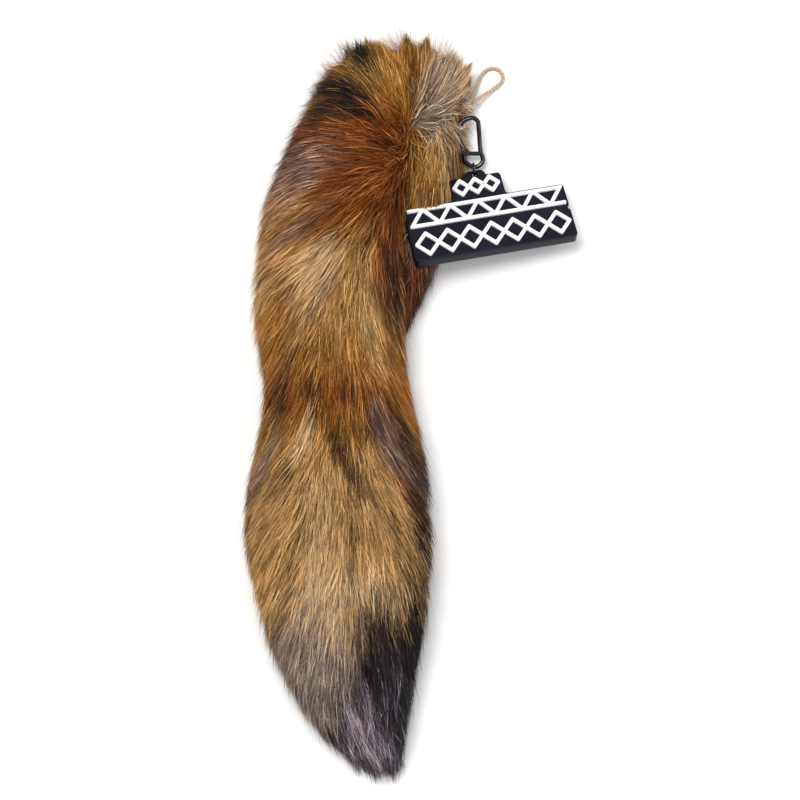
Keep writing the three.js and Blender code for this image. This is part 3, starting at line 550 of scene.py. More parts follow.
def uneven_surface_group():
    """Shared node group: soft noise over the object, put out as a mask and as a value between two ends."""
    name = "Uneven surface"
    if name in bpy.data.node_groups:
        return bpy.data.node_groups[name]
    group = bpy.data.node_groups.new(name, "ShaderNodeTree")
    sockets = group.interface
    inputs = (
        ("Scale", "Float", 5.0), ("Detail", "Float", 4.0), ("Stretch", "Vector", (1, 1, 1)),
        ("Low", "Float", 0.0), ("High", "Float", 1.0),
    )
    for label, kind, value in inputs:
        socket = sockets.new_socket(name=label, in_out="INPUT", socket_type="NodeSocket" + kind)
        socket.default_value = value
    sockets.new_socket(name="Mask", in_out="OUTPUT", socket_type="NodeSocketFloat")
    sockets.new_socket(name="Value", in_out="OUTPUT", socket_type="NodeSocketFloat")
    given = add(group, "NodeGroupInput")
    put_out = add(group, "NodeGroupOutput")
    coordinates = add(group, "ShaderNodeTexCoord")
    mapping = add(group, "ShaderNodeMapping")
    noise = add(group, "ShaderNodeTexNoise")
    spread = add(group, "ShaderNodeMapRange")
    group.links.new(coordinates.outputs["Object"], mapping.inputs["Vector"])
    group.links.new(given.outputs["Stretch"], mapping.inputs["Scale"])
    group.links.new(mapping.outputs["Vector"], noise.inputs["Vector"])
    group.links.new(given.outputs["Scale"], noise.inputs["Scale"])
    group.links.new(given.outputs["Detail"], noise.inputs["Detail"])
    group.links.new(noise.outputs["Fac"], spread.inputs["Value"])
    group.links.new(given.outputs["Low"], spread.inputs["To Min"])
    group.links.new(given.outputs["High"], spread.inputs["To Max"])
    group.links.new(noise.outputs["Fac"], put_out.inputs["Mask"])
    group.links.new(spread.outputs["Result"], put_out.inputs["Value"])
    return group


def uneven(tree, label, scale, detail, low=0.0, high=1.0, stretch=(1, 1, 1)):
    """Places the shared group in a material with its own values."""
    node = tree.nodes.new("ShaderNodeGroup")
    node.node_tree = uneven_surface_group()
    node.label = label
    values = {"Scale": scale, "Detail": detail, "Low": low, "High": high, "Stretch": stretch}
    for socket, value in values.items():
        node.inputs[socket].default_value = value
    return node


def ramp(tree, source, stops):
    """A colour ramp on a value, from (place, linear colour) stops."""
    node = add(tree, "ShaderNodeValToRGB")
    while len(node.color_ramp.elements) < len(stops):
        node.color_ramp.elements.new(0.5)
    for element, (at, colour) in zip(node.color_ramp.elements, stops):
        element.position = at
        element.color = (*colour, 1)
    tree.links.new(source, node.inputs["Fac"])
    return node


def bump(tree, height, shader, strength, distance):
    """Lets a value raise the surface, by the distance in metres at full strength."""
    node = add(tree, "ShaderNodeBump", Strength=strength, Distance=distance)
    tree.links.new(height, node.inputs["Height"])
    tree.links.new(node.outputs["Normal"], shader.inputs["Normal"])


def shaded_colour(tree, colour, tone, shader):
    """Gives the shader a colour times a tone."""
    shade = add(tree, "ShaderNodeVectorMath", operation="SCALE")
    tree.links.new(colour, shade.inputs[0])
    tree.links.new(tone, shade.inputs["Scale"])
    tree.links.new(shade.outputs["Vector"], shader.inputs["Base Color"])


def fur_material():
    """Hair coloured strand by strand through a colour attribute that also holds painted shade at the roots
    and in the pelt and painted highlight at the tips, with a fine change of tone along it.
    """
    material, tree, shader = new_material("fur", 0.5)
    shader.inputs["Specular IOR Level"].default_value = 0.14
    coat_and_shade = add(tree, "ShaderNodeAttribute", attribute_name="coat_and_shade")
    tone = uneven(tree, "Tone along the hair", 260, 3, 0.68, 1.32)
    shaded_colour(tree, coat_and_shade.outputs["Color"], tone.outputs["Value"], shader)
    return material


def twine_material():
    """Jute: pale straw fibres with darker ones between, fibre ridges along the twist, and painted shade in
    the groove between the plies.
    """
    material, tree, shader = new_material("twine", 0.85)
    shader.inputs["Specular IOR Level"].default_value = 0.2
    uv = add(tree, "ShaderNodeUVMap", uv_map="surface")
    mapping = add(tree, "ShaderNodeMapping")
    mapping.inputs["Scale"].default_value = (14, 9, 1)
    mapping.inputs["Rotation"].default_value = (0, 0, math.radians(28))
    fibres = add(tree, "ShaderNodeTexNoise", Scale=3.0, Detail=6.0)
    tree.links.new(uv.outputs["UV"], mapping.inputs["Vector"])
    tree.links.new(mapping.outputs["Vector"], fibres.inputs["Vector"])
    colour = ramp(tree, fibres.outputs["Fac"], [
        (0.34, linear((112, 86, 68))),
        (0.48, linear((206, 178, 150))),
        (0.66, linear((244, 226, 204))),
    ])
    # Painted shade: the colour darkens towards the groove between the plies, to 0.28 of it at the bottom.
    ply = add(tree, "ShaderNodeAttribute", attribute_name="ply")
    groove_shade = add(tree, "ShaderNodeMapRange")
    groove_shade.inputs["From Min"].default_value = 0.05
    groove_shade.inputs["From Max"].default_value = 0.75
    groove_shade.inputs["To Min"].default_value = 0.28
    tree.links.new(ply.outputs["Fac"], groove_shade.inputs["Value"])
    shaded_colour(tree, colour.outputs["Color"], groove_shade.outputs["Result"], shader)
    bump(tree, fibres.outputs["Fac"], shader, 0.6, 0.0003)
    return material


def metal_material():
    """Gunmetal plating: nearly black, glossy, with faint uneven polish."""
    material, tree, shader = new_material("gunmetal", 0.22, 1.0)
    polish = uneven(tree, "Polish", 420, 5, 0.1, 0.26, (1, 0.3, 1))
    colour = ramp(tree, polish.outputs["Mask"], [
        (0.35, linear((36, 34, 38))),
        (0.65, linear((66, 62, 66))),
    ])
    tree.links.new(colour.outputs["Color"], shader.inputs["Base Color"])
    tree.links.new(polish.outputs["Value"], shader.inputs["Roughness"])
    bump(tree, polish.outputs["Mask"], shader, 0.08, 0.0002)
    shader.inputs["Coat Weight"].default_value = 0.5
    shader.inputs["Coat Roughness"].default_value = 0.08
    return material


def rubber_material(name, dark, light, roughness):
    """Moulded soft rubber: a satin skin with a fine grain and faint cloudy wear."""
    material, tree, shader = new_material(name, roughness)
    shader.inputs["Specular IOR Level"].default_value = 0.18
    clouds = uneven(tree, "Wear", 60, 4, roughness - 0.1, roughness + 0.12)
    colour = ramp(tree, clouds.outputs["Mask"], [(0.35, linear(dark)), (0.7, linear(light))])
    tree.links.new(colour.outputs["Color"], shader.inputs["Base Color"])
    tree.links.new(clouds.outputs["Value"], shader.inputs["Roughness"])
    grain = uneven(tree, "Grain", 2600, 2)
    bump(tree, grain.outputs["Mask"], shader, 0.12, 0.0001)
    return material


# Places of the hard pieces

def rotation(degrees, axis):
    """A turn about one of the main axes."""
    return Matrix.Rotation(math.radians(degrees), 4, axis)


def clasp_matrix():
    """The clasp's plane in the tail's frame: turned on the floor, tilted, hooked on the twine."""
    turn = rotation(CLASP_TURN, "Z") @ rotation(CLASP_TILT, "X")
    top = Vector(KNOT_PLACE + CLASP_TOP_FROM_KNOT)
    return Matrix.Translation(top - turn @ Vector((0, CLASP_LENGTH / 2, 0))) @ turn


def on_clasp(share):
    """A place in the clasp's plane from shares of its half width and half length."""
    half = ((CLASP_WIDTH - CLASP_WIRE) / 2, (CLASP_LENGTH - CLASP_WIRE) / 2)
    return np.array([share[0] * half[0], share[1] * half[1], 0.0])


def ring_place():
    """The jump ring's centre and the direction in which it hangs."""
    rest = Vector(on_clasp(RING_SHARE)) + Vector((0, CLASP_WIRE / 2 + SEAT_GAP + RING_WIRE / 2, 0))
    turn = math.radians(CLASP_TURN)
    down = Vector((math.sin(turn), -math.cos(turn), -RING_DROP)).normalized()
    radius = (RING_DIAMETER - RING_WIRE) / 2
    return clasp_matrix() @ rest + down * radius, down


# Levels and sides of the charm's tiers, from its sizes.
CHARM_LEFT = -CHARM_LENGTH / 2
CHARM_RIGHT = CHARM_LENGTH / 2
UPPER_LEFT = UPPER_SHIFT - UPPER_LENGTH / 2
UPPER_RIGHT = UPPER_SHIFT + UPPER_LENGTH / 2
CHARM_BOTTOM = -(LOWER_TIER + MIDDLE_TIER) / 2
LOWER_TOP = CHARM_BOTTOM + LOWER_TIER
MIDDLE_TOP = LOWER_TOP + MIDDLE_TIER
UPPER_TOP = MIDDLE_TOP + UPPER_TIER
TAB_TOP = UPPER_TOP + TAB_HEIGHT
TAB_HOLE = Vector((TAB_SHIFT, TAB_TOP - TAB_BORE / 2 - TAB_MARGIN, 0))


def charm_matrix():
    """The charm's plane in the tail's frame, with its tab's hole on the ring."""
    turn = rotation(CHARM_ROLL, "Y") @ rotation(CHARM_PITCH, "X") @ rotation(CHARM_TURN, "Z")
    centre, down = ring_place()
    hung = centre + down * ((RING_DIAMETER - RING_WIRE) / 2)
    return Matrix.Translation(hung - turn @ TAB_HOLE) @ turn


# Stage

# Length of the floor's sides in millimetres.
FLOOR_SIZE = 6000


def add_aimed(name, data, spot, direction):
    """Puts a camera or a light at a spot in metres, where it looks along a direction."""
    obj = bpy.data.objects.new(name, data)
    obj.location = spot
    obj.rotation_mode = "QUATERNION"
    obj.rotation_quaternion = direction.to_track_quat("-Z", "Y")
    bpy.context.scene.collection.objects.link(obj)
    return obj


def build_camera():
    """The camera that looks down on the tail."""
    elevation = math.radians(CAMERA_ELEVATION)
    back = Vector((0, -math.cos(elevation), math.sin(elevation)))
    camera = bpy.data.cameras.new("camera")
    camera.sensor_width = SENSOR_WIDTH
    camera.lens = SENSOR_WIDTH * CAMERA_DISTANCE / (MM_PER_PIXEL * PICTURE_PIXELS)
    camera.clip_start = 0.05
    camera.clip_end = 10
    spot = (Vector(CAMERA_TARGET) + back * CAMERA_DISTANCE) * MM
    bpy.context.scene.camera = add_aimed("camera", camera, spot, -back)


def add_light(name, power, size, spot, colour):
    """A round soft light at a spot in metres, turned to the middle of the tail."""
    light = bpy.data.lights.new(name, "AREA")
    light.energy = power
    light.shape = "DISK"
    light.size = size
    light.color = colour
    add_aimed(name, light, spot, -Vector(spot))


def build_stage(settings):
    """A plain pale floor and soft studio light."""
    corners = np.array([(-1, -1, 0), (1, -1, 0), (1, 1, 0), (-1, 1, 0)]) * FLOOR_SIZE / 2
    floor = mesh_object("floor", corners, np.array([[0, 1, 2, 3]]))
    material, tree, shader = new_material("floor", 0.8)
    clouds = uneven(tree, "Paper", 3, 2)
    colour = ramp(tree, clouds.outputs["Mask"], [(0.3, [0.86] * 3), (0.7, [0.88] * 3)])
    tree.links.new(colour.outputs["Color"], shader.inputs["Base Color"])
    floor.data.materials.append(material)
    world = bpy.data.worlds.new("studio")
    world.use_nodes = True
    world.node_tree.nodes["Background"].inputs["Color"].default_value = (1, 1, 1, 1)
    world.node_tree.nodes["Background"].inputs["Strength"].default_value = settings.sky_strength
    bpy.context.scene.world = world
    add_light("key", settings.key_power, 0.8, (-0.3, 0.35, 1.35), (1, 0.98, 0.95))
    add_light("fill", settings.fill_power, 1.2, (0.9, -0.3, 1.1), (0.95, 0.97, 1))
    bpy.context.scene.view_settings.view_transform = "Standard"


# Twine

# Loose fibres in millimetres: shortest and longest, half their width, how far their tips stand off the
# twine, and where they start, as a share of the twine's radius.
FIBRE_LENGTHS = (1.2, 4.2)
FIBRE_HALF_WIDTH = 0.05
FIBRE_REACH = 0.5
FIBRE_START = 0.85
# How much the twine's thickness wavers, and radians of the waver for each millimetre.
WAVER_SHARE = 0.05
WAVER_PER_MM = 1.7
# Share of the radius that is left at the closed ends of a tube.
END_SHARE = 0.02
# Depth of the groove between two plies as a share of the radius, and how round each ply is.
GROOVE_SHARE = 0.38
PLY_ROUNDNESS = 0.7
# The knot's winding in millimetres: turns, length, its half axes at the ends, how much wider they are in
# the middle, the radius of its cord and the radians that its plies turn for each millimetre.
KNOT_TURNS = 3.2
KNOT_LENGTH = 6.4
KNOT_ENDS = (2.3, 1.75)
KNOT_SWELL = (1.05, 0.75)
KNOT_CORD_RADIUS = 1.05
KNOT_TWIST = 1.3
# How light the painted shade in the groove between the knot's plies stays, from 0 to 1.
KNOT_GROOVE_SHADE = 0.35


def twine_route():
    """The twine's points: out of the fur, through the knot, round the free loop and back."""
    heading = math.radians(LOOP_HEADING)
    along = np.array([math.cos(heading), math.sin(heading), 0])
    across = np.array([-along[1], along[0], 0])
    down = np.array([0, 0, FLOOR_DROP])
    loop = [KNOT_PLACE + along * a + across * c + down * d for a, c, d in LOOP_ROUTE]
    return [KNOT_PLACE + p for p in ROOT_TO_KNOT] + loop + [KNOT_PLACE + p for p in KNOT_TO_ROOT]


def line_frame(line):
    """Directions across and out of a line that lies nearly flat."""
    flow = unit(np.gradient(line, axis=0))
    across = unit(np.cross(flow, (0, 0, 1.0)))
    return flow, across, np.cross(across, flow)


def with_ply_shade(obj, ridge):
    """Stores how far each vertex stands out of the groove between the plies, from 0 to 1, which the twine's
    material turns into painted shade in the groove.
    """
    attribute = obj.data.attributes.new("ply", "FLOAT", "POINT")
    attribute.data.foreach_set("value", ridge.astype(np.float32).ravel())
    return obj


def ply_shape(ridge):
    """Share of the radius for a height between the groove, 0, and the crest of a ply, 1."""
    return (1 - GROOVE_SHARE) + GROOVE_SHARE * ridge ** PLY_ROUNDNESS


def twisted_tube(name, line, turns_per_metre, sides=16):
    """Two plies twisted together: r(a) = R w (0.62 + 0.38 |cos(a - twist)| ^ 0.7), the twist turning with
    length and w wavering slowly round 1."""
    _, across, out = line_frame(line)
    walked = walked_along(line)
    angle = np.linspace(0, 2 * np.pi, sides, endpoint=False)
    twist = walked[:, None] * MM * turns_per_metre * 2 * np.pi
    waver = 1 + WAVER_SHARE * np.sin(walked * WAVER_PER_MM)[:, None]
    ridge = np.abs(np.cos(angle[None, :] - twist))
    radius = TWINE_DIAMETER / 2 * waver * ply_shape(ridge)
    ends = np.ones(len(line))
    ends[[0, -1]] = END_SHARE
    tube = sweep(name, line, radius * ends[:, None], across, out, sides)
    return with_ply_shade(tube, ridge)


def fibre_mesh(name, line, count, seed):
    """Loose fibres: thin pointed blades that leave the twine's surface, lean along it and bend off it."""
    rng = np.random.default_rng(seed)
    flow, across, out = line_frame(line)
    at = rng.integers(1, len(line) - 1, count)
    angle = rng.uniform(0, 2 * np.pi, count)[:, None]
    away = np.cos(angle) * across[at] + np.sin(angle) * out[at]
    around = -np.sin(angle) * across[at] + np.cos(angle) * out[at]
    root = line[at] + away * (TWINE_DIAMETER / 2) * FIBRE_START
    sense = rng.choice([-1.0, 1.0], count)[:, None]
    length = rng.uniform(*FIBRE_LENGTHS, count)[:, None]
    lean = flow[at] * sense + around * rng.normal(0.35, 0.3, (count, 1))
    middle = root + lean * length * 0.5 + away * FIBRE_REACH * rng.uniform(0, 0.5, (count, 1))
    tip = root + lean * length + away * FIBRE_REACH * rng.uniform(0.1, 1.4, (count, 1))
    side = unit(np.cross(lean, away)) * FIBRE_HALF_WIDTH
    points = np.stack([root - side, root + side, middle + side, middle - side, tip], axis=1)
    points[..., 2] = np.maximum(points[..., 2], FIBRE_HALF_WIDTH)
    first = np.arange(count)[:, None] * 5
    faces = np.concatenate([first + [0, 1, 2], first + [0, 2, 3], first + [3, 2, 4]], axis=0)
    uv = np.tile([[0.0, 0.0], [0.1, 0.0], [0.1, 0.4], [0.0, 0.4], [0.05, 0.6]], (count, 1))
    uv += np.repeat(rng.uniform(0, 9, (count, 2)), 5, axis=0)
    fibres = mesh_object(name, points.reshape(-1, 3), faces, uv)
    return with_ply_shade(fibres, np.ones(count * 5))


def knot_mesh():
    """The knot: the twine wound round both strands, x along the loop. With a the angle and s the swell,
    P = (length (t - 1/2) + 0.4 sin a, (e + w s) cos a, (e' + w' s) sin a)."""
    t = np.linspace(0, 1, 220)
    angle = 2 * np.pi * KNOT_TURNS * t + 0.6
    swell = np.sin(np.pi * np.clip(t * 1.02 - 0.01, 0, 1)) ** 0.35
    winding = np.column_stack([
        (t - 0.5) * KNOT_LENGTH + 0.4 * np.sin(angle),
        (KNOT_ENDS[0] + KNOT_SWELL[0] * swell) * np.cos(angle),
        (KNOT_ENDS[1] + KNOT_SWELL[1] * swell) * np.sin(angle),
    ])
    flow = unit(np.gradient(winding, axis=0))
    away = unit(winding * [0, 1, 1])
    across = unit(np.cross(flow, away))
    out = np.cross(across, flow)
    sides = 14
    ply = np.linspace(0, 2 * np.pi, sides, endpoint=False)
    ridge = np.abs(np.cos(ply[None, :] - walked_along(winding)[:, None] * KNOT_TWIST))
    radius = KNOT_CORD_RADIUS * ply_shape(ridge)
    radius[[0, -1]] *= END_SHARE
    knot = sweep("knot_winding", winding, radius, across, out, sides)
    # Painted shade in the grooves of the knot's winding, kept lighter there than on the loop.
    return with_ply_shade(knot, KNOT_GROOVE_SHADE + (1 - KNOT_GROOVE_SHADE) * ridge)


def build_twine(settings):
    """The twine, its fibres and its knot, on the tail's body."""
    material = twine_material()
    line = smooth_route(twine_route(), 520)
    loop = twisted_tube("twine_cord", line, settings.ply_turns)
    finish_piece(loop, "tail", material, ["twine_loop"])
    fibres = fibre_mesh("twine_fibres", line, settings.fibre_count, 3)
    finish_piece(fibres, "tail", material)
    winding = knot_mesh()
    place(winding, Matrix.Translation(Vector(KNOT_PLACE)) @ rotation(LOOP_HEADING, "Z"))
    finish_piece(winding, "tail", material, ["twine_knot"])


# Fur surface

# Steps over which directions on the fur surface are measured, in rows and in radians.
ROW_STEP = 0.15
ANGLE_STEP = 0.06
# How far down into the fur a hair presses for each millimetre of its way.
PRESS_DOWN = 0.3
# Furthest that a hair turns round the body in one step, in radians, and its least step past the ends.
MOST_ROUND = 1.2
LEAST_STRIDE = 0.4
# Share of the hair that grows underneath, where the surface looks down steeply.
UNDERSIDE_SHARE = 0.12
UNDERSIDE_SLOPE = -0.6


def sections_at(sections, row):
    """Section values at fractional rows, on a smooth curve through the table."""
    last = len(sections) - 1
    low = np.clip(np.floor(row).astype(int), 0, last - 1)
    t = (row - low)[:, None]
    a, b, c, d = (sections[np.clip(low + k, 0, last)] for k in (-1, 0, 1, 2))
    return b + 0.5 * t * (c - a + t * (2 * a - 5 * b + 4 * c - d + t * (3 * (b - c) + d - a)))


def fur_point(sections, row, angle):
    """A point of the fur body: angle 0 is the right edge, a quarter turn the top, a half the left edge.
    x and y run straight between the edges by (1 + cos a) / 2. z is h (0.42 + sin a / 2) / 0.92, and never
    below 0."""
    values = sections_at(sections, row)
    across = (1 + np.cos(angle)) / 2
    level = (WIDEST_LEVEL + np.sin(angle) / 2) * values[:, 4] / (WIDEST_LEVEL + 0.5)
    x = values[:, 0] + (values[:, 2] - values[:, 0]) * across
    y = values[:, 1] + (values[:, 3] - values[:, 1]) * across
    return np.column_stack([x, y, np.maximum(level, 0)]) * TAIL_SIZE


def fur_frame(sections, row, angle):
    """Point, direction along the rows, direction round the section, and the normal outwards."""
    point = fur_point(sections, row, angle)
    last = len(sections) - 1
    high, low = np.minimum(row + ROW_STEP, last), np.maximum(row - ROW_STEP, 0)
    along = (fur_point(sections, high, angle) - fur_point(sections, low, angle)) / (high - low)[:, None]
    ahead, behind = fur_point(sections, row, angle + ANGLE_STEP), fur_point(sections, row, angle - ANGLE_STEP)
    around = (ahead - behind) / (2 * ANGLE_STEP)
    normal = unit(np.cross(around, along))
    return point, along, around, normal


def with_reach(flow, reach):
    """A flow table with the distance in millimetres over which each of its rows counts."""
    return np.column_stack([flow, np.full(len(flow), reach)])


def flow_direction(flow, point, normal, turn):
    """Hair direction in the surface: the headings near a place, weighed by distance, laid on the surface."""
    apart = ((point[:, None, :2] - flow[None, :, :2]) ** 2).sum(axis=2)
    reach = flow[None, :, 3]
    weight = (np.exp(-apart / (2 * reach ** 2)) + 1e-9) / reach ** 2
    heading = np.radians(flow[:, 2])
    plan = weight @ np.column_stack([np.cos(heading), np.sin(heading)])
    lies = np.arctan2(plan[:, 1], plan[:, 0]) + turn
    wanted = np.column_stack([np.cos(lies), np.sin(lies), np.full(len(plan), -PRESS_DOWN)])
    along = wanted - normal * (wanted * normal).sum(axis=1, keepdims=True)
    return unit(along)


def surface_step(along, around, move):
    """How far rows and angle change for a move in the surface, by least squares. The determinant is kept
    from zero where both directions nearly fall together."""
    aa = (along * along).sum(axis=1)
    bb = (around * around).sum(axis=1)
    ab = (along * around).sum(axis=1)
    am = (along * move).sum(axis=1)
    bm = (around * move).sum(axis=1)
    det = np.maximum(aa * bb - ab * ab, 0.02 * aa * bb + 1e-6)
    return (am * bb - bm * ab) / det, (bm * aa - am * ab) / det


def grow(sections, flow, row, angle, length, lift, turn):
    """Centre lines of strands: each starts under the surface, follows the flow over it and lifts off
    towards its tip, the more so where the surface bends away from a stiff hair. Past the first and the
    last section a strand runs on straight for a short way."""
    last = len(sections) - 1
    lines, normals = [], []
    point, along, around, normal = fur_frame(sections, row, angle)
    ran_out = np.zeros(len(row), bool)
    spare = length * np.where(row > last / 2, TIP_OVERHANG, ROOT_OVERHANG)
    stiff_point = point
    stiff_way = flow_direction(flow, point, normal, turn)
    before = 0.0
    for share in STATIONS:
        step = length * (share - before)
        before = share
        direction = flow_direction(flow, point, normal, turn)
        move = direction * step[:, None]
        more_row, more_angle = surface_step(along, around, move)
        wanted = row + more_row
        ran_out = ran_out | (wanted > last) | (wanted < 0)
        row = np.clip(wanted, 0, last)
        angle = angle + np.clip(more_angle, -MOST_ROUND, MOST_ROUND)
        raised = lift * share ** 1.5 - ROOT_DEPTH * (1 - share) ** 2
        stride = np.where(ran_out, np.minimum(step, spare), step)
        spare = np.where(ran_out, np.maximum(spare - stride, LEAST_STRIDE), spare)
        free = point + direction * stride[:, None]
        new_point, along, around, new_normal = fur_frame(sections, row, angle)
        point = np.where(ran_out[:, None], free, new_point)
        normal = np.where(ran_out[:, None], normal, new_normal)
        stiff_way = unit(direction * (1 - STIFFNESS) + stiff_way * STIFFNESS)
        stiff_point = stiff_point + stiff_way * stride[:, None]
        lines.append(point + (stiff_point - point) * STIFF_SHARE * share + normal * raised[:, None])
        normals.append(normal)
    return np.stack(lines, axis=1), np.stack(normals, axis=1)


def root_places(sections, count, rng):
    """Rows and angles spread evenly over the surface, few of them underneath."""
    rows = np.linspace(0, len(sections) - 1, 160)
    angles = np.linspace(0, 2 * np.pi, 91)[:-1]
    row, angle = (grid.ravel() for grid in np.meshgrid(rows, angles, indexing="ij"))
    _, along, around, normal = fur_frame(sections, row, angle)
    area = np.linalg.norm(np.cross(around, along), axis=1)
    weight = area * np.where(normal[:, 2] < UNDERSIDE_SLOPE, UNDERSIDE_SHARE, 1.0)
    picked = rng.choice(len(row), count, p=weight / weight.sum())
    row = row[picked] + rng.uniform(-0.5, 0.5, count) * (rows[1] - rows[0])
    angle = angle[picked] + rng.uniform(-0.5, 0.5, count) * (angles[1] - angles[0])
    return np.clip(row, 0, len(sections) - 1), angle


# Fur colour

# How far the bands run into each other, in millimetres, and how ragged a patch's edge is, in its radii.
BAND_SPREAD = 5.0
PATCH_SPREAD = 0.16
# Radius at which a patch ends, and over how many radii it fades.
PATCH_END = 1.4
PATCH_FADE = 0.8
# Share of a patch that colours whole hairs. The rest is a wash over all of them.
WHOLE_HAIRS = 0.65
# Spread of lightness from lock to lock and from hair to hair, as powers of e, and the shares of very pale
# and very dark hairs with what they add and take.
LOCK_TONE = 0.42
HAIR_TONE = 0.5
PALE_SHARE = 0.08
PALE_TONE = 0.5
DARK_SHARE = 0.14
DARK_TONE = 1.2


def coat_colour(bands, patches, point, rng):
    """Linear colour of the coat at places seen from above: bands along the tail, then soft patches laid
    over them. A patch takes some hairs whole and leaves others, so that it looks streaked."""
    names = [name for _, name in bands]
    levels = np.array([level for level, _ in bands], float)
    table = np.array([linear(COLOURS[name]) for name in names])
    y = point[:, 1] + rng.normal(0, BAND_SPREAD, len(point))
    order = np.argsort(levels)
    colour = np.column_stack([np.interp(y, levels[order], table[order, k]) for k in range(3)])
    for x0, y0, long, wide, heading, name, strength in patches:
        turn = math.radians(heading)
        dx, dy = point[:, 0] - x0, point[:, 1] - y0
        u = (dx * math.cos(turn) + dy * math.sin(turn)) / long
        v = (dy * math.cos(turn) - dx * math.sin(turn)) / wide
        reach = np.sqrt(u * u + v * v) + rng.normal(0, PATCH_SPREAD, len(y))
        share = strength * np.clip((PATCH_END - reach) / PATCH_FADE, 0, 1)
        taken = rng.random(len(y)) < share
        share = share * (1 - WHOLE_HAIRS) + taken * WHOLE_HAIRS
        colour += (linear(COLOURS[name]) - colour) * share[:, None]
    return colour


def strand_tone(owner, rng):
    """Lightness of each strand: a share of its lock's, its own, and a few very pale or dark ones."""
    count = len(owner)
    tone = rng.normal(0, LOCK_TONE, owner.max() + 1)[owner] + rng.normal(0, HAIR_TONE, count)
    odd = rng.random(count)
    tone = np.where(odd < PALE_SHARE, tone + PALE_TONE, tone)
    tone = np.where(odd > 1 - DARK_SHARE, tone - DARK_TONE, tone)
    return np.exp(tone)


def with_coat_and_shade(obj, colour):
    """Stores a linear colour for each vertex, with its painted shade and highlight, which the fur's material
    reads.
    """
    attribute = obj.data.attributes.new("coat_and_shade", "FLOAT_COLOR", "POINT")
    full = np.concatenate([colour, np.ones((*colour.shape[:-1], 1))], axis=-1)
    attribute.data.foreach_set("color", full.astype(np.float32).ravel())
    return obj


# Fur strands

# Hair that starts above the charm and left of this place along it lies over the charm. The lobe's hair
# and all other hair goes under.
OVER_CHARM_TO = -38.0
NEVER_OVER = -1e9
# Room that the fur leaves, in millimetres: beside the charm's tiers, round its head, how much higher the
# head's room lies, behind and before the charm, beside and past the clasp, and the levels between which
# the clasp lies in its own plane.
TIER_ROOM = 0.6
HEAD_ROOM = 3
HEAD_RAISED = 2
BACK_ROOM = 0.5
FRONT_ROOM = 0.9
CLASP_SIDE_ROOM = 0.8
CLASP_END_ROOM = 0.5
CLASP_LEVELS = (-2.4, 2.6)
# Lowest height of a hair, in millimetres, and of a point that was pushed out of something.
FLOOR_GAP = 0.15
PUSHED_FLOOR_GAP = 0.35
# Round places seen from above that the fur leaves open: over the knot, over the twine below it twice, and
# four notches in the outline at the root. Each has a centre, a half width, how many times as long as wide
# it is, and how ragged its edge is.
CLEARINGS = [
    ((69.2, 169.6), 6.6, 1.0, 0.0),
    ((67.2, 161.5), 4.2, 1.0, 0.0),
    ((66.5, 157.5), 3.4, 1.0, 0.0),
    ((26.0, 206.0), 8.0, 2.1, 0.35),
    ((39.5, 209.0), 3.6, 2.6, 0.45),
    ((54.5, 207.0), 9.0, 1.9, 0.35),
    ((-7.0, 197.0), 10.0, 1.3, 0.25),
]
# Radians for each millimetre, along x and y, of the waves that make a clearing's edge ragged.
RAGGED_WAVES = (7.3, 5.1)
# How far locks, and strands within them, stray from the flow, in degrees.
LOCK_STRAY = 9
STRAND_STRAY = 5
# The parting: its middle, how far it reaches to the sides and along (squares of millimetres), how much
# more its hair strays and how much of its length its hair loses there.
PARTING_X = 36.5
PARTING_Y = 146.0
PARTING_WIDE = 24
PARTING_LONG = 260
PARTING_STRAY = 9
PARTING_CUT = 0.5
# How deep under the surface a strand starts, in millimetres.
ROOT_DEPTH = 3.0
# Furthest that a strand runs on past the last and the first section, as shares of its length.
TIP_OVERHANG = 0.27
ROOT_OVERHANG = 0.1
# How much of its old direction a stiff hair keeps at each station, and how far it goes its own way.
STIFFNESS = 0.6
STIFF_SHARE = 0.5
# Stations along a strand as shares of its length, how wide it is at the first three, and how light it is
# at all four: dark at the root, partly the hair's own colour and partly painted shade deep in the fur, and
# light at the tip, partly painted highlight.
STATIONS = (0.0, 0.4, 0.75, 1.0)
STATION_WIDTHS = (0.8, 1.0, 0.72)
STATION_LIGHT_AND_SHADE = (0.26, 0.66, 1.08, 1.25)
# How much the lightness strays at each station, and the spread that it is a share of.
STATION_STRAY = (0, 0.2, 0.7, 1.3)
TONE_STRAY = 0.3
# Colour towards which the palest hairs go, among them the tips made light as painted highlight, as a screen
# colour, from which lightness, how fast and how far.
PALE_HAIR = (222, 186, 136)
PALER_FROM = 1.25
PALER_SLOPE = 0.3
PALER_MOST = 0.4
# Most and least of any colour that a hair gives back.
LIGHTEST = 0.9
DARKEST = 0.002
# Furthest that a strand's flat side rolls about the strand, in radians.
MOST_ROLL = 0.9
# A strand's seven points in its cell of the flat map, and cells across the map for each cell down it.
CELL_POINTS = np.array([
    (0.15, 0.06), (0.85, 0.06), (0.15, 0.4), (0.85, 0.4), (0.2, 0.72), (0.8, 0.72), (0.5, 0.94),
])
CELL_SHAPE = 2.2
# Five triangles on a strand's seven points.
STRAND_CORNERS = ((0, 1, 3), (0, 3, 2), (2, 3, 5), (2, 5, 4), (4, 5, 6))


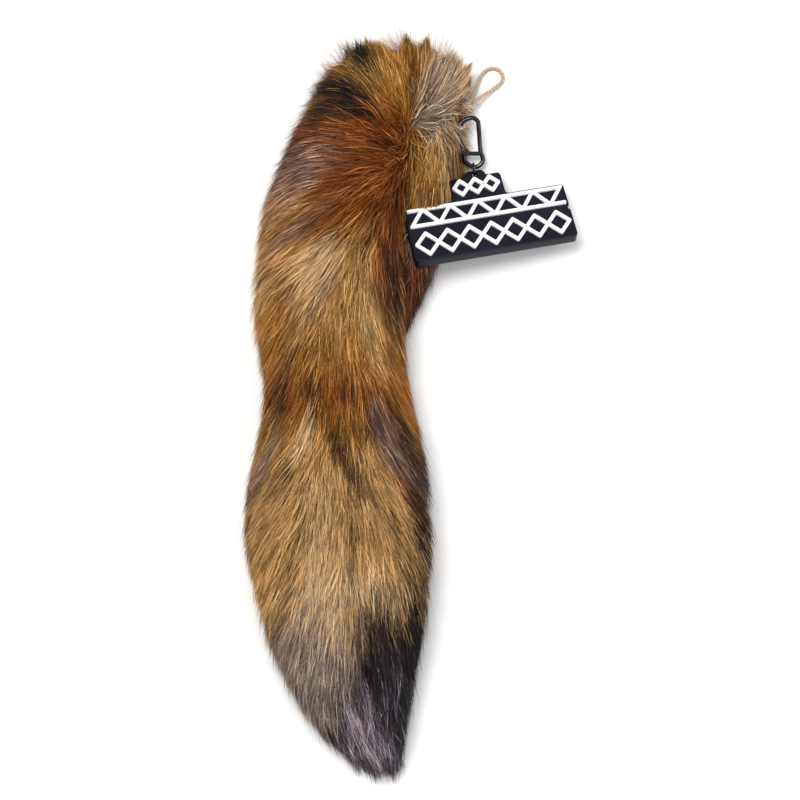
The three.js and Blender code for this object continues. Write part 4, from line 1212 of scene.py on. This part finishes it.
def keep_clear(line, matrix, box, low, high, over_to=NEVER_OVER):
    """Pushes points out of a flat piece: those that start above its middle and left of a limit go over
    it, the others under it. The box is a half width, a half length and a centre in the piece's plane."""
    half_width, half_length, x, y = box
    inverse = np.array(matrix.inverted())
    local = line @ inverse[:3, :3].T + inverse[:3, 3]
    inside = (np.abs(local[..., 0] - x) < half_width) & (np.abs(local[..., 1] - y) < half_length)
    above = (local[..., :1, 2] > (low + high) / 2) & (local[..., :1, 0] < over_to)
    local[..., 2] = np.where(inside & above, np.maximum(local[..., 2], high), local[..., 2])
    local[..., 2] = np.where(inside & ~above, np.minimum(local[..., 2], low), local[..., 2])
    forward = np.array(matrix)
    return local @ forward[:3, :3].T + forward[:3, 3]


def part_fur(line, over_to=OVER_CHARM_TO):
    """Fur keeps out of the charm's two tiers and head, the clasp and the knot, and above the floor."""
    charm = charm_matrix()
    back = -CHARM_THICKNESS / 2 - BACK_ROOM
    front = CHARM_THICKNESS / 2 + RELIEF_HEIGHT + FRONT_ROOM
    middle = (CHARM_BOTTOM + MIDDLE_TOP) / 2
    long_tiers = (CHARM_LENGTH / 2 + TIER_ROOM, (MIDDLE_TOP - CHARM_BOTTOM) / 2 + TIER_ROOM, 0, middle)
    head_middle = MIDDLE_TOP + UPPER_TIER / 2 + HEAD_RAISED
    head = (UPPER_LENGTH / 2 + TIER_ROOM, UPPER_TIER / 2 + HEAD_ROOM, UPPER_SHIFT, head_middle)
    clasp = (CLASP_WIDTH / 2 + CLASP_SIDE_ROOM, CLASP_LENGTH / 2 + CLASP_END_ROOM, 0, 0)
    line = keep_clear(line, charm, long_tiers, back, front, over_to)
    line = keep_clear(line, charm, head, back, front)
    line = keep_clear(line, clasp_matrix(), clasp, *CLASP_LEVELS)
    wave = line[:, :1, :1] * RAGGED_WAVES[0] + line[:, :1, 1:2] * RAGGED_WAVES[1]
    uneven_edge = 0.5 + 0.5 * np.sin(wave)
    for centre, width, stretch, ragged in CLEARINGS:
        radius = width * (1 - ragged * uneven_edge)
        away = (line[..., :2] - centre) / (1, stretch)
        far = np.linalg.norm(away, axis=-1, keepdims=True)
        pushed = centre + away / np.maximum(far, 0.1) * radius * (1, stretch)
        line[..., :2] = np.where(far < radius, pushed, line[..., :2])
    line[..., 2] = np.maximum(line[..., 2], PUSHED_FLOOR_GAP)
    return line


def strand_mesh(name, lines, normals, width, colour, tone, rng):
    """Blades along centre lines, two points wide at three stations and one at the tip, each with a cell
    of its own in the flat map: P = L + s w (T x N), s = -1/2 and 1/2, N turned about the hair."""
    count = len(lines)
    flow = unit(np.gradient(lines, axis=1))
    roll = rng.uniform(-MOST_ROLL, MOST_ROLL, (count, 1, 1))
    side = np.cross(flow, normals)
    side = unit(side * np.cos(roll) + normals * np.sin(roll))
    spread = np.array(STATION_WIDTHS)[None, :, None] * width[:, None, None] / 2
    left = lines[:, :3] - side[:, :3] * spread
    right = lines[:, :3] + side[:, :3] * spread
    points = np.concatenate([np.stack([left, right], axis=2).reshape(count, 6, 3), lines[:, 3:4]], axis=1)
    points[..., 2] = np.maximum(points[..., 2], FLOOR_GAP)
    first = np.arange(count)[:, None] * 7
    faces = np.stack([first + np.array(corners) for corners in STRAND_CORNERS], axis=1).reshape(-1, 3)
    columns = int(math.ceil(math.sqrt(count * CELL_SHAPE)))
    rows = int(math.ceil(count / columns))
    index = np.arange(count)
    cell = np.column_stack([index % columns, index // columns])[:, None, :]
    uv = (cell + CELL_POINTS[None]) / np.array([columns, rows])
    obj = mesh_object(name, points.reshape(-1, 3), faces, uv.reshape(-1, 2), "OFBake")
    stray = np.exp(rng.normal(0, TONE_STRAY, (count, 1)) * np.array(STATION_STRAY)[None, :])
    # Painted shade and highlight: each strand darkens towards its root and lightens towards its tip, over its
    # own random tone, partly the hair's own colour along it.
    along = (np.array(STATION_LIGHT_AND_SHADE)[None, :] * stray)[:, [0, 0, 1, 1, 2, 2, 3]]
    light = (tone[:, None] * along)[..., None]
    shade = colour[:, None, :] * light
    # The lightest hairs turn towards a pale tan; on the tips this is partly painted highlight.
    pale = linear(PALE_HAIR)
    paler = pale * (shade.mean(axis=2, keepdims=True) / pale.mean())
    shade += (paler - shade) * np.clip((light - PALER_FROM) * PALER_SLOPE, 0, PALER_MOST)
    shade *= np.minimum(1, LIGHTEST / np.maximum(shade.max(axis=2, keepdims=True), LIGHTEST))
    shade = np.maximum(shade, DARKEST)
    return with_coat_and_shade(obj, shade)


# What makes a body of fur: its sections, flow, bands and patches, and how far its hair lies over the charm.
BODY_FUR = (
    BODY_SECTIONS,
    np.vstack([with_reach(BODY_FLOW, FLOW_REACH), with_reach(PARTING_FLOW, PARTING_REACH)]),
    COAT_BANDS,
    COAT_PATCHES,
    OVER_CHARM_TO,
)
LOBE_FUR = (LOBE_SECTIONS, with_reach(LOBE_FLOW, FLOW_REACH), LOBE_BANDS, LOBE_PATCHES, NEVER_OVER)
# Shares of a layer's strands that go to the lobe and to the tufts, and the lobe's length of hair.
LOBE_SHARE = 0.17
TUFT_SHARE = 0.022
LOBE_HAIR = 0.8
# Least and most, as shares of the whole: a lock's length and lift, a strand's length and lift within its
# lock, a strand's width, and how much of its way a tuft's strand goes.
LOCK_LENGTHS = (0.75, 1.2)
LOCK_LIFTS = (0.3, 1.5)
STRAND_LENGTHS = (0.7, 1.1)
STRAND_LIFTS = (0.5, 1.4)
STRAND_WIDTHS = (0.6, 1.3)
TUFT_LENGTHS = (0.3, 1.05)
# Share of strands that stand up from their lock, and how much higher they stand.
UPRIGHT_SHARE = 0.03
UPRIGHT_LIFT = 2.2
# Millimetres that a strand's root lies from its lock's, the share of that which is left where the lock
# gathers, and how far a strand's tip and its single stations stray.
LOCK_SPREAD = 1.5
GATHERED_SPREAD = 0.35
TIP_STRAY = 0.55
STATION_WANDER = 0.22
# Millimetres along the hair by which a lock, and a strand in it, takes its colour from elsewhere.
LOCK_COLOUR_SHIFT = 5.0
STRAND_COLOUR_SHIFT = 4.0
# A tuft's spread at its middle as a share of its width, how much wider it is at its root and narrower at its
# tip, and how far the tips of its strands stray in millimetres.
TUFT_SPREAD = 0.26
TUFT_ROOT_SPREAD = 1.6
TUFT_TIP_SPREAD = 0.5
TUFT_TIP_STRAY = 0.6


def near_parting(point):
    """How near places are to the parting beside the root, from 0 to 1."""
    x, y = point[:, 0] - PARTING_X, point[:, 1] - PARTING_Y
    return np.exp(-(x ** 2 / PARTING_WIDE + y ** 2 / PARTING_LONG))


def layer_strands(fur, count, clump, length, width, lift, gather, rng):
    """One layer of fur on one body: locks of strands that gather towards the tip of their lock's guide."""
    sections, flow, bands, patches, over_to = fur
    locks = count // clump
    guide_row, guide_angle = root_places(sections, locks, rng)
    lengths = length * rng.uniform(*LOCK_LENGTHS, locks)
    lifts = lift * rng.uniform(*LOCK_LIFTS, locks)
    turns = rng.normal(0, math.radians(LOCK_STRAY), locks)
    guides, _ = grow(sections, flow, guide_row, guide_angle, lengths, lifts, turns)
    owner = np.sort(rng.integers(0, locks, count))
    _, along, around, normal = fur_frame(sections, guide_row[owner], guide_angle[owner])
    flat = rng.normal(0, LOCK_SPREAD, (count, 3))
    flat -= normal * (flat * normal).sum(axis=1, keepdims=True)
    more_row, more_angle = surface_step(along, around, flat)
    row = np.clip(guide_row[owner] + more_row, 0, len(sections) - 1)
    angle = guide_angle[owner] + more_angle
    own = lengths[owner] * rng.uniform(*STRAND_LENGTHS, count)
    own_lift = lifts[owner] * rng.uniform(*STRAND_LIFTS, count)
    own_lift = np.where(rng.random(count) < UPRIGHT_SHARE, own_lift * UPRIGHT_LIFT, own_lift)
    close = near_parting(fur_point(sections, row, angle))
    stray = math.radians(STRAND_STRAY) * (1 + PARTING_STRAY * close)
    own = own * (1 - PARTING_CUT * close)
    own_turn = turns[owner] + rng.normal(0, 1, count) * stray
    lines, normals = grow(sections, flow, row, angle, own, own_lift, own_turn)
    share = np.array(STATIONS)[None, :, None]
    gather = (gather * (1 - close))[:, None, None]
    lines += (guides[owner] + flat[:, None, :] * GATHERED_SPREAD - lines) * gather * share ** 2
    lines += rng.normal(0, TIP_STRAY, (count, 1, 3)) * share
    lines += rng.normal(0, STATION_WANDER, (count, len(STATIONS), 3)) * share
    way = unit(lines[:, 3] - lines[:, 1])
    seen = lines[:, 2] + way * rng.normal(0, LOCK_COLOUR_SHIFT, (locks, 1))[owner]
    seen += way * rng.normal(0, STRAND_COLOUR_SHIFT, (count, 1))
    colour = coat_colour(bands, patches, seen, rng)
    tone = strand_tone(owner, rng)
    widths = width * rng.uniform(*STRAND_WIDTHS, count)
    return part_fur(lines, over_to), normals, widths, colour, tone


def tuft_strands(count, width, rng):
    """Strands of the single tufts at the root and the tip: straight from their root to a shared tip."""
    owner = rng.integers(0, len(TUFTS), count)
    tuft = TUFTS[owner]
    offset = (rng.normal(0, TUFT_SPREAD, (count, 3)) * tuft[:, 6:7] * [1, 1, 0.5])[:, None]
    share = np.array(STATIONS)[None, :, None]
    start = tuft[:, None, 0:3] + offset * TUFT_ROOT_SPREAD
    end = tuft[:, None, 3:6] + offset * TUFT_TIP_SPREAD
    reach = rng.uniform(*TUFT_LENGTHS, (count, 1, 1))
    lines = start + (end - start) * share * reach
    lines += rng.normal(0, TUFT_TIP_STRAY, (count, 1, 3)) * share
    normals = np.tile([0.0, 0.0, 1.0], (count, len(STATIONS), 1))
    colour = coat_colour(COAT_BANDS, COAT_PATCHES, lines[:, 2], rng)
    lines = part_fur(lines)
    widths = width * rng.uniform(*STRAND_WIDTHS, count)
    return lines, normals, widths, colour, strand_tone(np.arange(count), rng)


def fur_layer(name, count, clump, length, width, lift, gather, seed, tone, material):
    """One piece of fur: strands of the body and of the lobe together, and of the tufts."""
    rng = np.random.default_rng(seed)
    lobe = int(count * LOBE_SHARE)
    tufts = int(count * TUFT_SHARE)
    parts = [
        layer_strands(BODY_FUR, count - lobe - tufts, clump, length, width, lift, gather, rng),
        layer_strands(LOBE_FUR, lobe, clump, length * LOBE_HAIR, width, lift, gather, rng),
        tuft_strands(tufts, width, rng),
    ]
    lines, normals, widths, colour, tones = (np.concatenate(columns) for columns in zip(*parts))
    obj = strand_mesh(name, lines, normals, widths, colour, tones * tone, rng)
    return finish_piece(obj, "tail", material)


# How deep the pelt lies under the fur surface and the height of its ridges, in millimetres, its lowest
# height, and its lightness, kept low as painted shade deep in the fur.
PELT_INSET = 2.4
PELT_RIDGES = 0.5
PELT_FLOOR_GAP = 0.3
PELT_SHADED_TONE = 0.4


def pelt_mesh(name, fur, rows, sides):
    """The pelt under the hair: the fur body drawn in along its normal, with fine ridges along the hair, in
    the coat's colours darkened as painted shade.
    """
    sections, _, bands, patches, over_to = fur
    row, angle = np.meshgrid(np.linspace(0, len(sections) - 1, rows),
                             np.linspace(0, 2 * np.pi, sides, endpoint=False), indexing="ij")
    row, angle = row.ravel(), angle.ravel()
    point, _, _, normal = fur_frame(sections, row, angle)
    ridge = PELT_RIDGES * np.sin(angle * 23 + row * 1.3) * np.sin(row * 5.1 + angle * 7)
    point = point - normal * (PELT_INSET + ridge)[:, None]
    point[:, 2] = np.maximum(point[:, 2], PELT_FLOOR_GAP)
    point = part_fur(point[:, None, :], over_to)[:, 0]
    faces = grid_faces(rows, sides)[:, ::-1]
    ends = point.reshape(rows, sides, 3)[[0, -1]].mean(axis=1)
    rng = np.random.default_rng(1)
    # Painted shade: the pelt takes the coat's colour at a low share of its lightness, so the gaps between
    # hairs look shaded.
    colour = coat_colour(bands, patches, np.vstack([point, ends]), rng) * PELT_SHADED_TONE
    ring = np.arange(sides)
    on = (ring + 1) % sides
    base = (rows - 1) * sides
    first_end, last_end = np.full(sides, len(point)), np.full(sides, len(point) + 1)
    triangles = np.concatenate([
        faces[:, [0, 1, 2]],
        faces[:, [0, 2, 3]],
        np.column_stack([ring, on, first_end]),
        np.column_stack([base + on, base + ring, last_end]),
    ])
    return with_coat_and_shade(mesh_object(name, np.vstack([point, ends]), triangles), colour)


# The underfur's length as a share of the guard hair's, and its lightness.
UNDER_LENGTH = 0.5
UNDER_TONE = 0.8
# How much locks gather at their tips, in the underfur and in the guard hair.
UNDER_GATHER = 0.35
COAT_GATHER = 0.62
# How high hair stands off, in millimetres, and how much higher and thinner each layer of guard hair is.
LIFT = 2.2
LAYER_LIFT = 0.5
LAYER_THINNING = 0.06


def build_fur(settings):
    """Pelt, underfur and layers of guard hair."""
    material = fur_material()
    body = pelt_mesh("pelt_body", BODY_FUR, 150, 72)
    lobe = pelt_mesh("pelt_lobe", LOBE_FUR, 60, 48)
    pelt = join([body, lobe], "fur_pelt")
    finish_piece(pelt, "tail", material, ["tail_fur"])
    width = settings.width / MM
    length = settings.length / MM
    fur_layer("fur_under", settings.strands, settings.clump, length * UNDER_LENGTH, width, LIFT,
              UNDER_GATHER, settings.seed, UNDER_TONE, material)
    for layer in range(settings.layers):
        thinner = width * (1 - LAYER_THINNING * layer)
        higher = LIFT + LAYER_LIFT * layer
        fur_layer(f"fur_coat_{layer + 1}", settings.strands, settings.clump, length, thinner, higher,
                  COAT_GATHER, settings.seed + 1 + layer, 1.0, material)


# Clasp

# Radius at which a turned or rounded end closes, in millimetres.
CLOSED_RADIUS = 1e-3
# The bridge's thickness as a share of the bar's.
BRIDGE_SHARE = 0.94


def plane_tube(name, route, count, radius, sides, start_round=True):
    """Round bar along a smooth route in a plane, its start closed by a half ball where asked. Its other
    ends lie inside the lug or the bar."""
    line = smooth_route([on_clasp(share) for share in route], count, 0)
    size = np.full(len(line), radius)
    if start_round:
        flow = unit(np.gradient(line, axis=0))
        t = np.linspace(0, np.pi / 2, 7)[:-1]
        cap = line[0] - flow[0] * radius * np.cos(t)[:, None]
        line = np.vstack([cap, line])
        size = np.concatenate([radius * np.sin(t) + CLOSED_RADIUS, size])
    flow = unit(np.gradient(line, axis=0))
    across = unit(np.cross(flow, (0, 0, 1.0)))
    out = np.tile([0.0, 0.0, 1.0], (len(line), 1))
    return sweep(name, line, size[:, None], across, out, sides)


def turned(name, profile, centre, sides=40):
    """Solid of revolution about the clasp's normal from (radius, level) pairs."""
    profile = np.asarray(profile, float)
    angle = np.linspace(0, 2 * np.pi, sides, endpoint=False)
    ring = np.column_stack([np.cos(angle), np.sin(angle)])
    points = np.concatenate([
        np.broadcast_to(profile[:, None, :1] * ring[None], (len(profile), sides, 2)),
        np.broadcast_to(profile[:, None, 1:], (len(profile), sides, 1)),
    ], axis=2)
    points = points + centre
    return mesh_object(name, points.reshape(-1, 3), grid_faces(len(profile), sides)[:, ::-1])


def cheek(radius, low, high, edge=0.25):
    """Profile of a disc with rounded edges."""
    t = np.linspace(0, np.pi / 2, 5)
    top = np.column_stack([radius - edge + edge * np.cos(t), high - edge + edge * np.sin(t)])
    bottom = np.column_stack([radius - edge + edge * np.cos(t[::-1]), low + edge - edge * np.sin(t[::-1])])
    return np.vstack([[(CLOSED_RADIUS, low)], bottom, top, [(CLOSED_RADIUS, high)]])


def build_clasp():
    """Clasp frame, its gate and the jump ring, in dark plated metal."""
    material = metal_material()
    matrix = clasp_matrix()
    pivot = on_clasp(PIVOT_SHARE)
    nose = on_clasp(CLASP_ROUTE[0])
    radius = CLASP_WIRE / 2
    slot = GATE_THICKNESS / 2 + HINGE_GAP
    side = LUG_THICKNESS / 2
    pin = cheek(PIN_DIAMETER / 2, -side - PIN_HEADS[0], side + PIN_HEADS[1], PIN_EDGE)
    parts = [
        plane_tube("clasp_bar", CLASP_ROUTE, 220, radius, 24),
        plane_tube("clasp_bridge", BRIDGE_ROUTE, 24, radius * BRIDGE_SHARE, 20, start_round=False),
        turned("cheek_a", cheek(LUG_DIAMETER / 2, slot, side), pivot),
        turned("cheek_b", cheek(LUG_DIAMETER / 2, -side, -slot), pivot),
        turned("pin", pin, pivot, 20),
    ]
    bar = place(join(parts, "clasp_body"), matrix)
    finish_piece(bar, "tail", material, ["clasp_frame"])
    top = nose[1] - 2 * SEAT_GAP
    eye = LUG_DIAMETER / 2 - HINGE_GAP
    half = GATE_WIDTH / 2
    turn = np.linspace(np.pi, 2 * np.pi, 14)
    bottom = np.column_stack([pivot[0] + eye * np.cos(turn), pivot[1] + eye * np.sin(turn)])
    left, right, foot = nose[0] - half, nose[0] + half, top - GATE_WIDTH
    head = rounded_loop([(right, foot), (right, top), (left, top), (left, foot)], LEVER_CORNER, 4)
    side = GATE_THICKNESS / 2
    lever = slab("clasp_lever", [np.vstack([bottom, head])], -side, side, LEVER_EDGE, matrix)
    finish_piece(lever, "gate", material, ["clasp_gate"])
    build_ring(material)


def build_ring(material):
    """Jump ring: a torus, standing across the clasp: P = C + (R + r cos b) (cos a, sin a) + r sin b n."""
    centre, _ = ring_place()
    radius = (RING_DIAMETER - RING_WIRE) / 2
    steps, sides = 72, 16
    a = np.linspace(0, 2 * np.pi, steps, endpoint=False)
    b = np.linspace(0, 2 * np.pi, sides, endpoint=False)
    around, tube = np.meshgrid(a, b, indexing="ij")
    wide = radius + RING_WIRE / 2 * np.cos(tube)
    points = np.stack([wide * np.cos(around), wide * np.sin(around), RING_WIRE / 2 * np.sin(tube)], axis=-1)
    faces = grid_faces(steps + 1, sides) % (steps * sides)
    ring = mesh_object("ring", points.reshape(-1, 3), faces)
    place(ring, Matrix.Translation(centre) @ rotation(CLASP_TURN, "Z") @ rotation(90, "Y"))
    finish_piece(ring, "tail", material, ["jump_ring"])


# Charm

def charm_outline():
    """Corners of the charm's plate: two long tiers with a notch between them and the short upper one."""
    return [
        (CHARM_LEFT, CHARM_BOTTOM), (CHARM_RIGHT, CHARM_BOTTOM), (CHARM_RIGHT, LOWER_TOP - TIER_NOTCH),
        (CHARM_RIGHT - TIER_NOTCH, LOWER_TOP), (CHARM_RIGHT, LOWER_TOP + TIER_NOTCH),
        (CHARM_RIGHT, MIDDLE_TOP), (UPPER_RIGHT, MIDDLE_TOP), (UPPER_RIGHT, UPPER_TOP),
        (UPPER_LEFT, UPPER_TOP), (UPPER_LEFT, MIDDLE_TOP), (CHARM_LEFT, MIDDLE_TOP),
    ]


def circle(centre, radius, count=28):
    """Points round a circle."""
    turn = np.linspace(0, 2 * np.pi, count, endpoint=False)
    return np.column_stack([centre[0] + radius * np.cos(turn), centre[1] + radius * np.sin(turn)])


def lozenge_loops(left, right, bottom, top, count):
    """Outer and inner loops of lozenge frames set point to point."""
    inset = RELIEF_MARGIN + RELIEF_STROKE / 2
    pitch = (right - left - 2 * inset) / count
    middle, half = (bottom + top) / 2, (top - bottom) / 2 - inset
    slope = math.hypot(pitch / 2, half)
    grow_x, grow_y = RELIEF_STROKE / 2 * slope / half, RELIEF_STROKE / 2 * slope / (pitch / 2)
    frames = []
    for i in range(count):
        x = left + inset + pitch * (i + 0.5)
        loops = []
        for sign, corner in zip((1, -1), LOZENGE_CORNERS):
            wide, high = pitch / 2 + sign * grow_x, half + sign * grow_y
            corners = [(x + wide, middle), (x, middle + high), (x - wide, middle), (x, middle - high)]
            loops.append(rounded_loop(corners, corner, 5))
        frames.append(loops)
    return frames


def zigzag_loops(left, right, bottom, top, count):
    """A plate between two rails with a triangle cut out on each side of every zigzag stroke."""
    inset = RELIEF_MARGIN + RELIEF_STROKE / 2
    low, high = bottom + inset, top - inset
    start, end = left + inset, right - inset
    pitch = (end - start) / count
    half = RELIEF_STROKE / 2
    slope = math.hypot(pitch, high - low)
    shift = half * slope / (high - low)
    run = pitch * half / (high - low)
    outer = [
        (start - half, low - half), (end + half, low - half), (end + half, low + half),
        (end - pitch + run + shift, low + half), (end + shift, high), (end + shift, high + half),
        (start - half, high + half), (start - half, high - half),
        (start + pitch - run - shift, high - half), (start - shift, low),
    ]
    loops = [rounded_loop(outer, ZIGZAG_CORNERS[0], 4)]
    for i in range(1, count):
        x = start + pitch * i
        near, far, sign = (high, low, -1) if i % 2 else (low, high, 1)
        base, point = far - sign * half, near + sign * half * slope / pitch
        width = pitch * abs(base - point) / (high - low)
        corners = [(x - width, base), (x + width, base), (x, point)]
        loops.append(rounded_loop(corners, ZIGZAG_CORNERS[1], 4))
    return loops


def build_charm(settings):
    """Two-tone rubber charm: dark plate with its tab, and pale raised ornament."""
    dark = rubber_material("charm_black", (8, 11, 24), (17, 21, 37), 0.42)
    pale = rubber_material("charm_white", (236, 236, 234), (250, 250, 248), 0.42)
    matrix = charm_matrix()
    edge = settings.edge / MM
    front = CHARM_THICKNESS / 2
    plate = slab("plate", [rounded_loop(charm_outline(), CHARM_CORNER)], -front, front, edge, matrix)
    tab_left, tab_right = TAB_SHIFT - TAB_WIDTH / 2, TAB_SHIFT + TAB_WIDTH / 2
    tab_foot = UPPER_TOP - TAB_HEIGHT / 2
    tab_corners = [
        (tab_left, tab_foot), (tab_right, tab_foot), (tab_right - TAB_MARGIN, TAB_TOP),
        (tab_left + TAB_MARGIN, TAB_TOP),
    ]
    tab_loops = [rounded_loop(tab_corners, TAB_WIDTH * TAB_CORNER_SHARE), circle(TAB_HOLE, TAB_BORE / 2)]
    tab = slab("tab", tab_loops, -TAB_THICKNESS / 2, TAB_THICKNESS / 2, TAB_EDGE, matrix)
    plate = join([plate, tab], "charm_body")
    finish_piece(plate, "tail", dark, ["charm_plate"])
    low, high = front + SEAT_GAP - RELIEF_SUNK, front + SEAT_GAP + RELIEF_HEIGHT
    upper = lozenge_loops(UPPER_LEFT, UPPER_RIGHT, MIDDLE_TOP, UPPER_TOP, 3)
    middle = zigzag_loops(CHARM_LEFT, CHARM_RIGHT, LOWER_TOP, MIDDLE_TOP, 11)
    lower = lozenge_loops(CHARM_LEFT, CHARM_RIGHT, CHARM_BOTTOM, LOWER_TOP, 7)
    for tier, shapes in (("upper", upper), ("middle", [middle]), ("lower", lower)):
        name, node = "ornament_" + tier, "relief_" + tier
        slabs = [slab(f"{name}_{i}", loops, low, high, RELIEF_EDGE, matrix) for i, loops in enumerate(shapes)]
        piece = join(slabs, name) if len(slabs) > 1 else slabs[0]
        piece.name = name
        finish_piece(piece, "tail", pale, [node])


# Operators and panel

def settings_of(context, key):
    """One group of the add-on's settings, by its name."""
    return getattr(context.scene, key)


class TAIL_OT_camera(bpy.types.Operator):
    """Set up the camera that looks down on the tail"""
    bl_idname = "tail.camera"
    bl_label = "Camera"

    def execute(self, context):
        build_camera()
        return {"FINISHED"}


class TAIL_OT_twine(bpy.types.Operator):
    """Build the twine loop with its knot and fibres"""
    bl_idname = "tail.twine"
    bl_label = "Twine loop"

    def execute(self, context):
        build_twine(settings_of(context, "tail_twine"))
        return {"FINISHED"}


class TAIL_OT_fur(bpy.types.Operator):
    """Build the pelt and the layers of fur"""
    bl_idname = "tail.fur"
    bl_label = "Fur"

    def execute(self, context):
        build_fur(settings_of(context, "tail_fur"))
        return {"FINISHED"}


class TAIL_OT_clasp(bpy.types.Operator):
    """Build the snap clasp, its gate and the jump ring"""
    bl_idname = "tail.clasp"
    bl_label = "Snap clasp"

    def execute(self, context):
        build_clasp()
        return {"FINISHED"}


class TAIL_OT_charm(bpy.types.Operator):
    """Build the rubber charm and its ornament"""
    bl_idname = "tail.charm"
    bl_label = "Charm"

    def execute(self, context):
        build_charm(settings_of(context, "tail_charm"))
        return {"FINISHED"}


class TAIL_OT_stage(bpy.types.Operator):
    """Set up the floor and the studio light"""
    bl_idname = "tail.stage"
    bl_label = "Floor and light"

    def execute(self, context):
        build_stage(settings_of(context, "tail_stage"))
        return {"FINISHED"}


OPERATORS = (TAIL_OT_camera, TAIL_OT_twine, TAIL_OT_fur, TAIL_OT_clasp, TAIL_OT_charm, TAIL_OT_stage)


class TAIL_PT_panel(bpy.types.Panel):
    """Buttons and settings of the tail's parts"""
    bl_label = "Fox tail"
    bl_idname = "TAIL_PT_panel"
    bl_space_type = "VIEW_3D"
    bl_region_type = "UI"
    bl_category = "Fox tail"

    def draw(self, context):
        for operator in OPERATORS:
            self.layout.operator(operator.bl_idname)
        for key, group in SETTINGS.items():
            box = self.layout.box()
            for name in group.__annotations__:
                box.prop(settings_of(context, key), name)


def register():
    """Makes the settings, operators and panel known."""
    for group in SETTINGS.values():
        bpy.utils.register_class(group)
    for key, group in SETTINGS.items():
        setattr(bpy.types.Scene, key, bpy.props.PointerProperty(type=group))
    for operator in OPERATORS:
        bpy.utils.register_class(operator)
    bpy.utils.register_class(TAIL_PT_panel)


def unregister():
    """Takes them away again."""
    bpy.utils.unregister_class(TAIL_PT_panel)
    for operator in reversed(OPERATORS):
        bpy.utils.unregister_class(operator)
    for key in SETTINGS:
        delattr(bpy.types.Scene, key)
    for group in SETTINGS.values():
        bpy.utils.unregister_class(group)


def main():
    """Registers the add-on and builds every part."""
    register()
    bpy.ops.tail.camera()
    bpy.ops.tail.twine()
    bpy.ops.tail.fur()
    bpy.ops.tail.clasp()
    bpy.ops.tail.charm()
    bpy.ops.tail.stage()


if __name__ == "__main__":
    main()
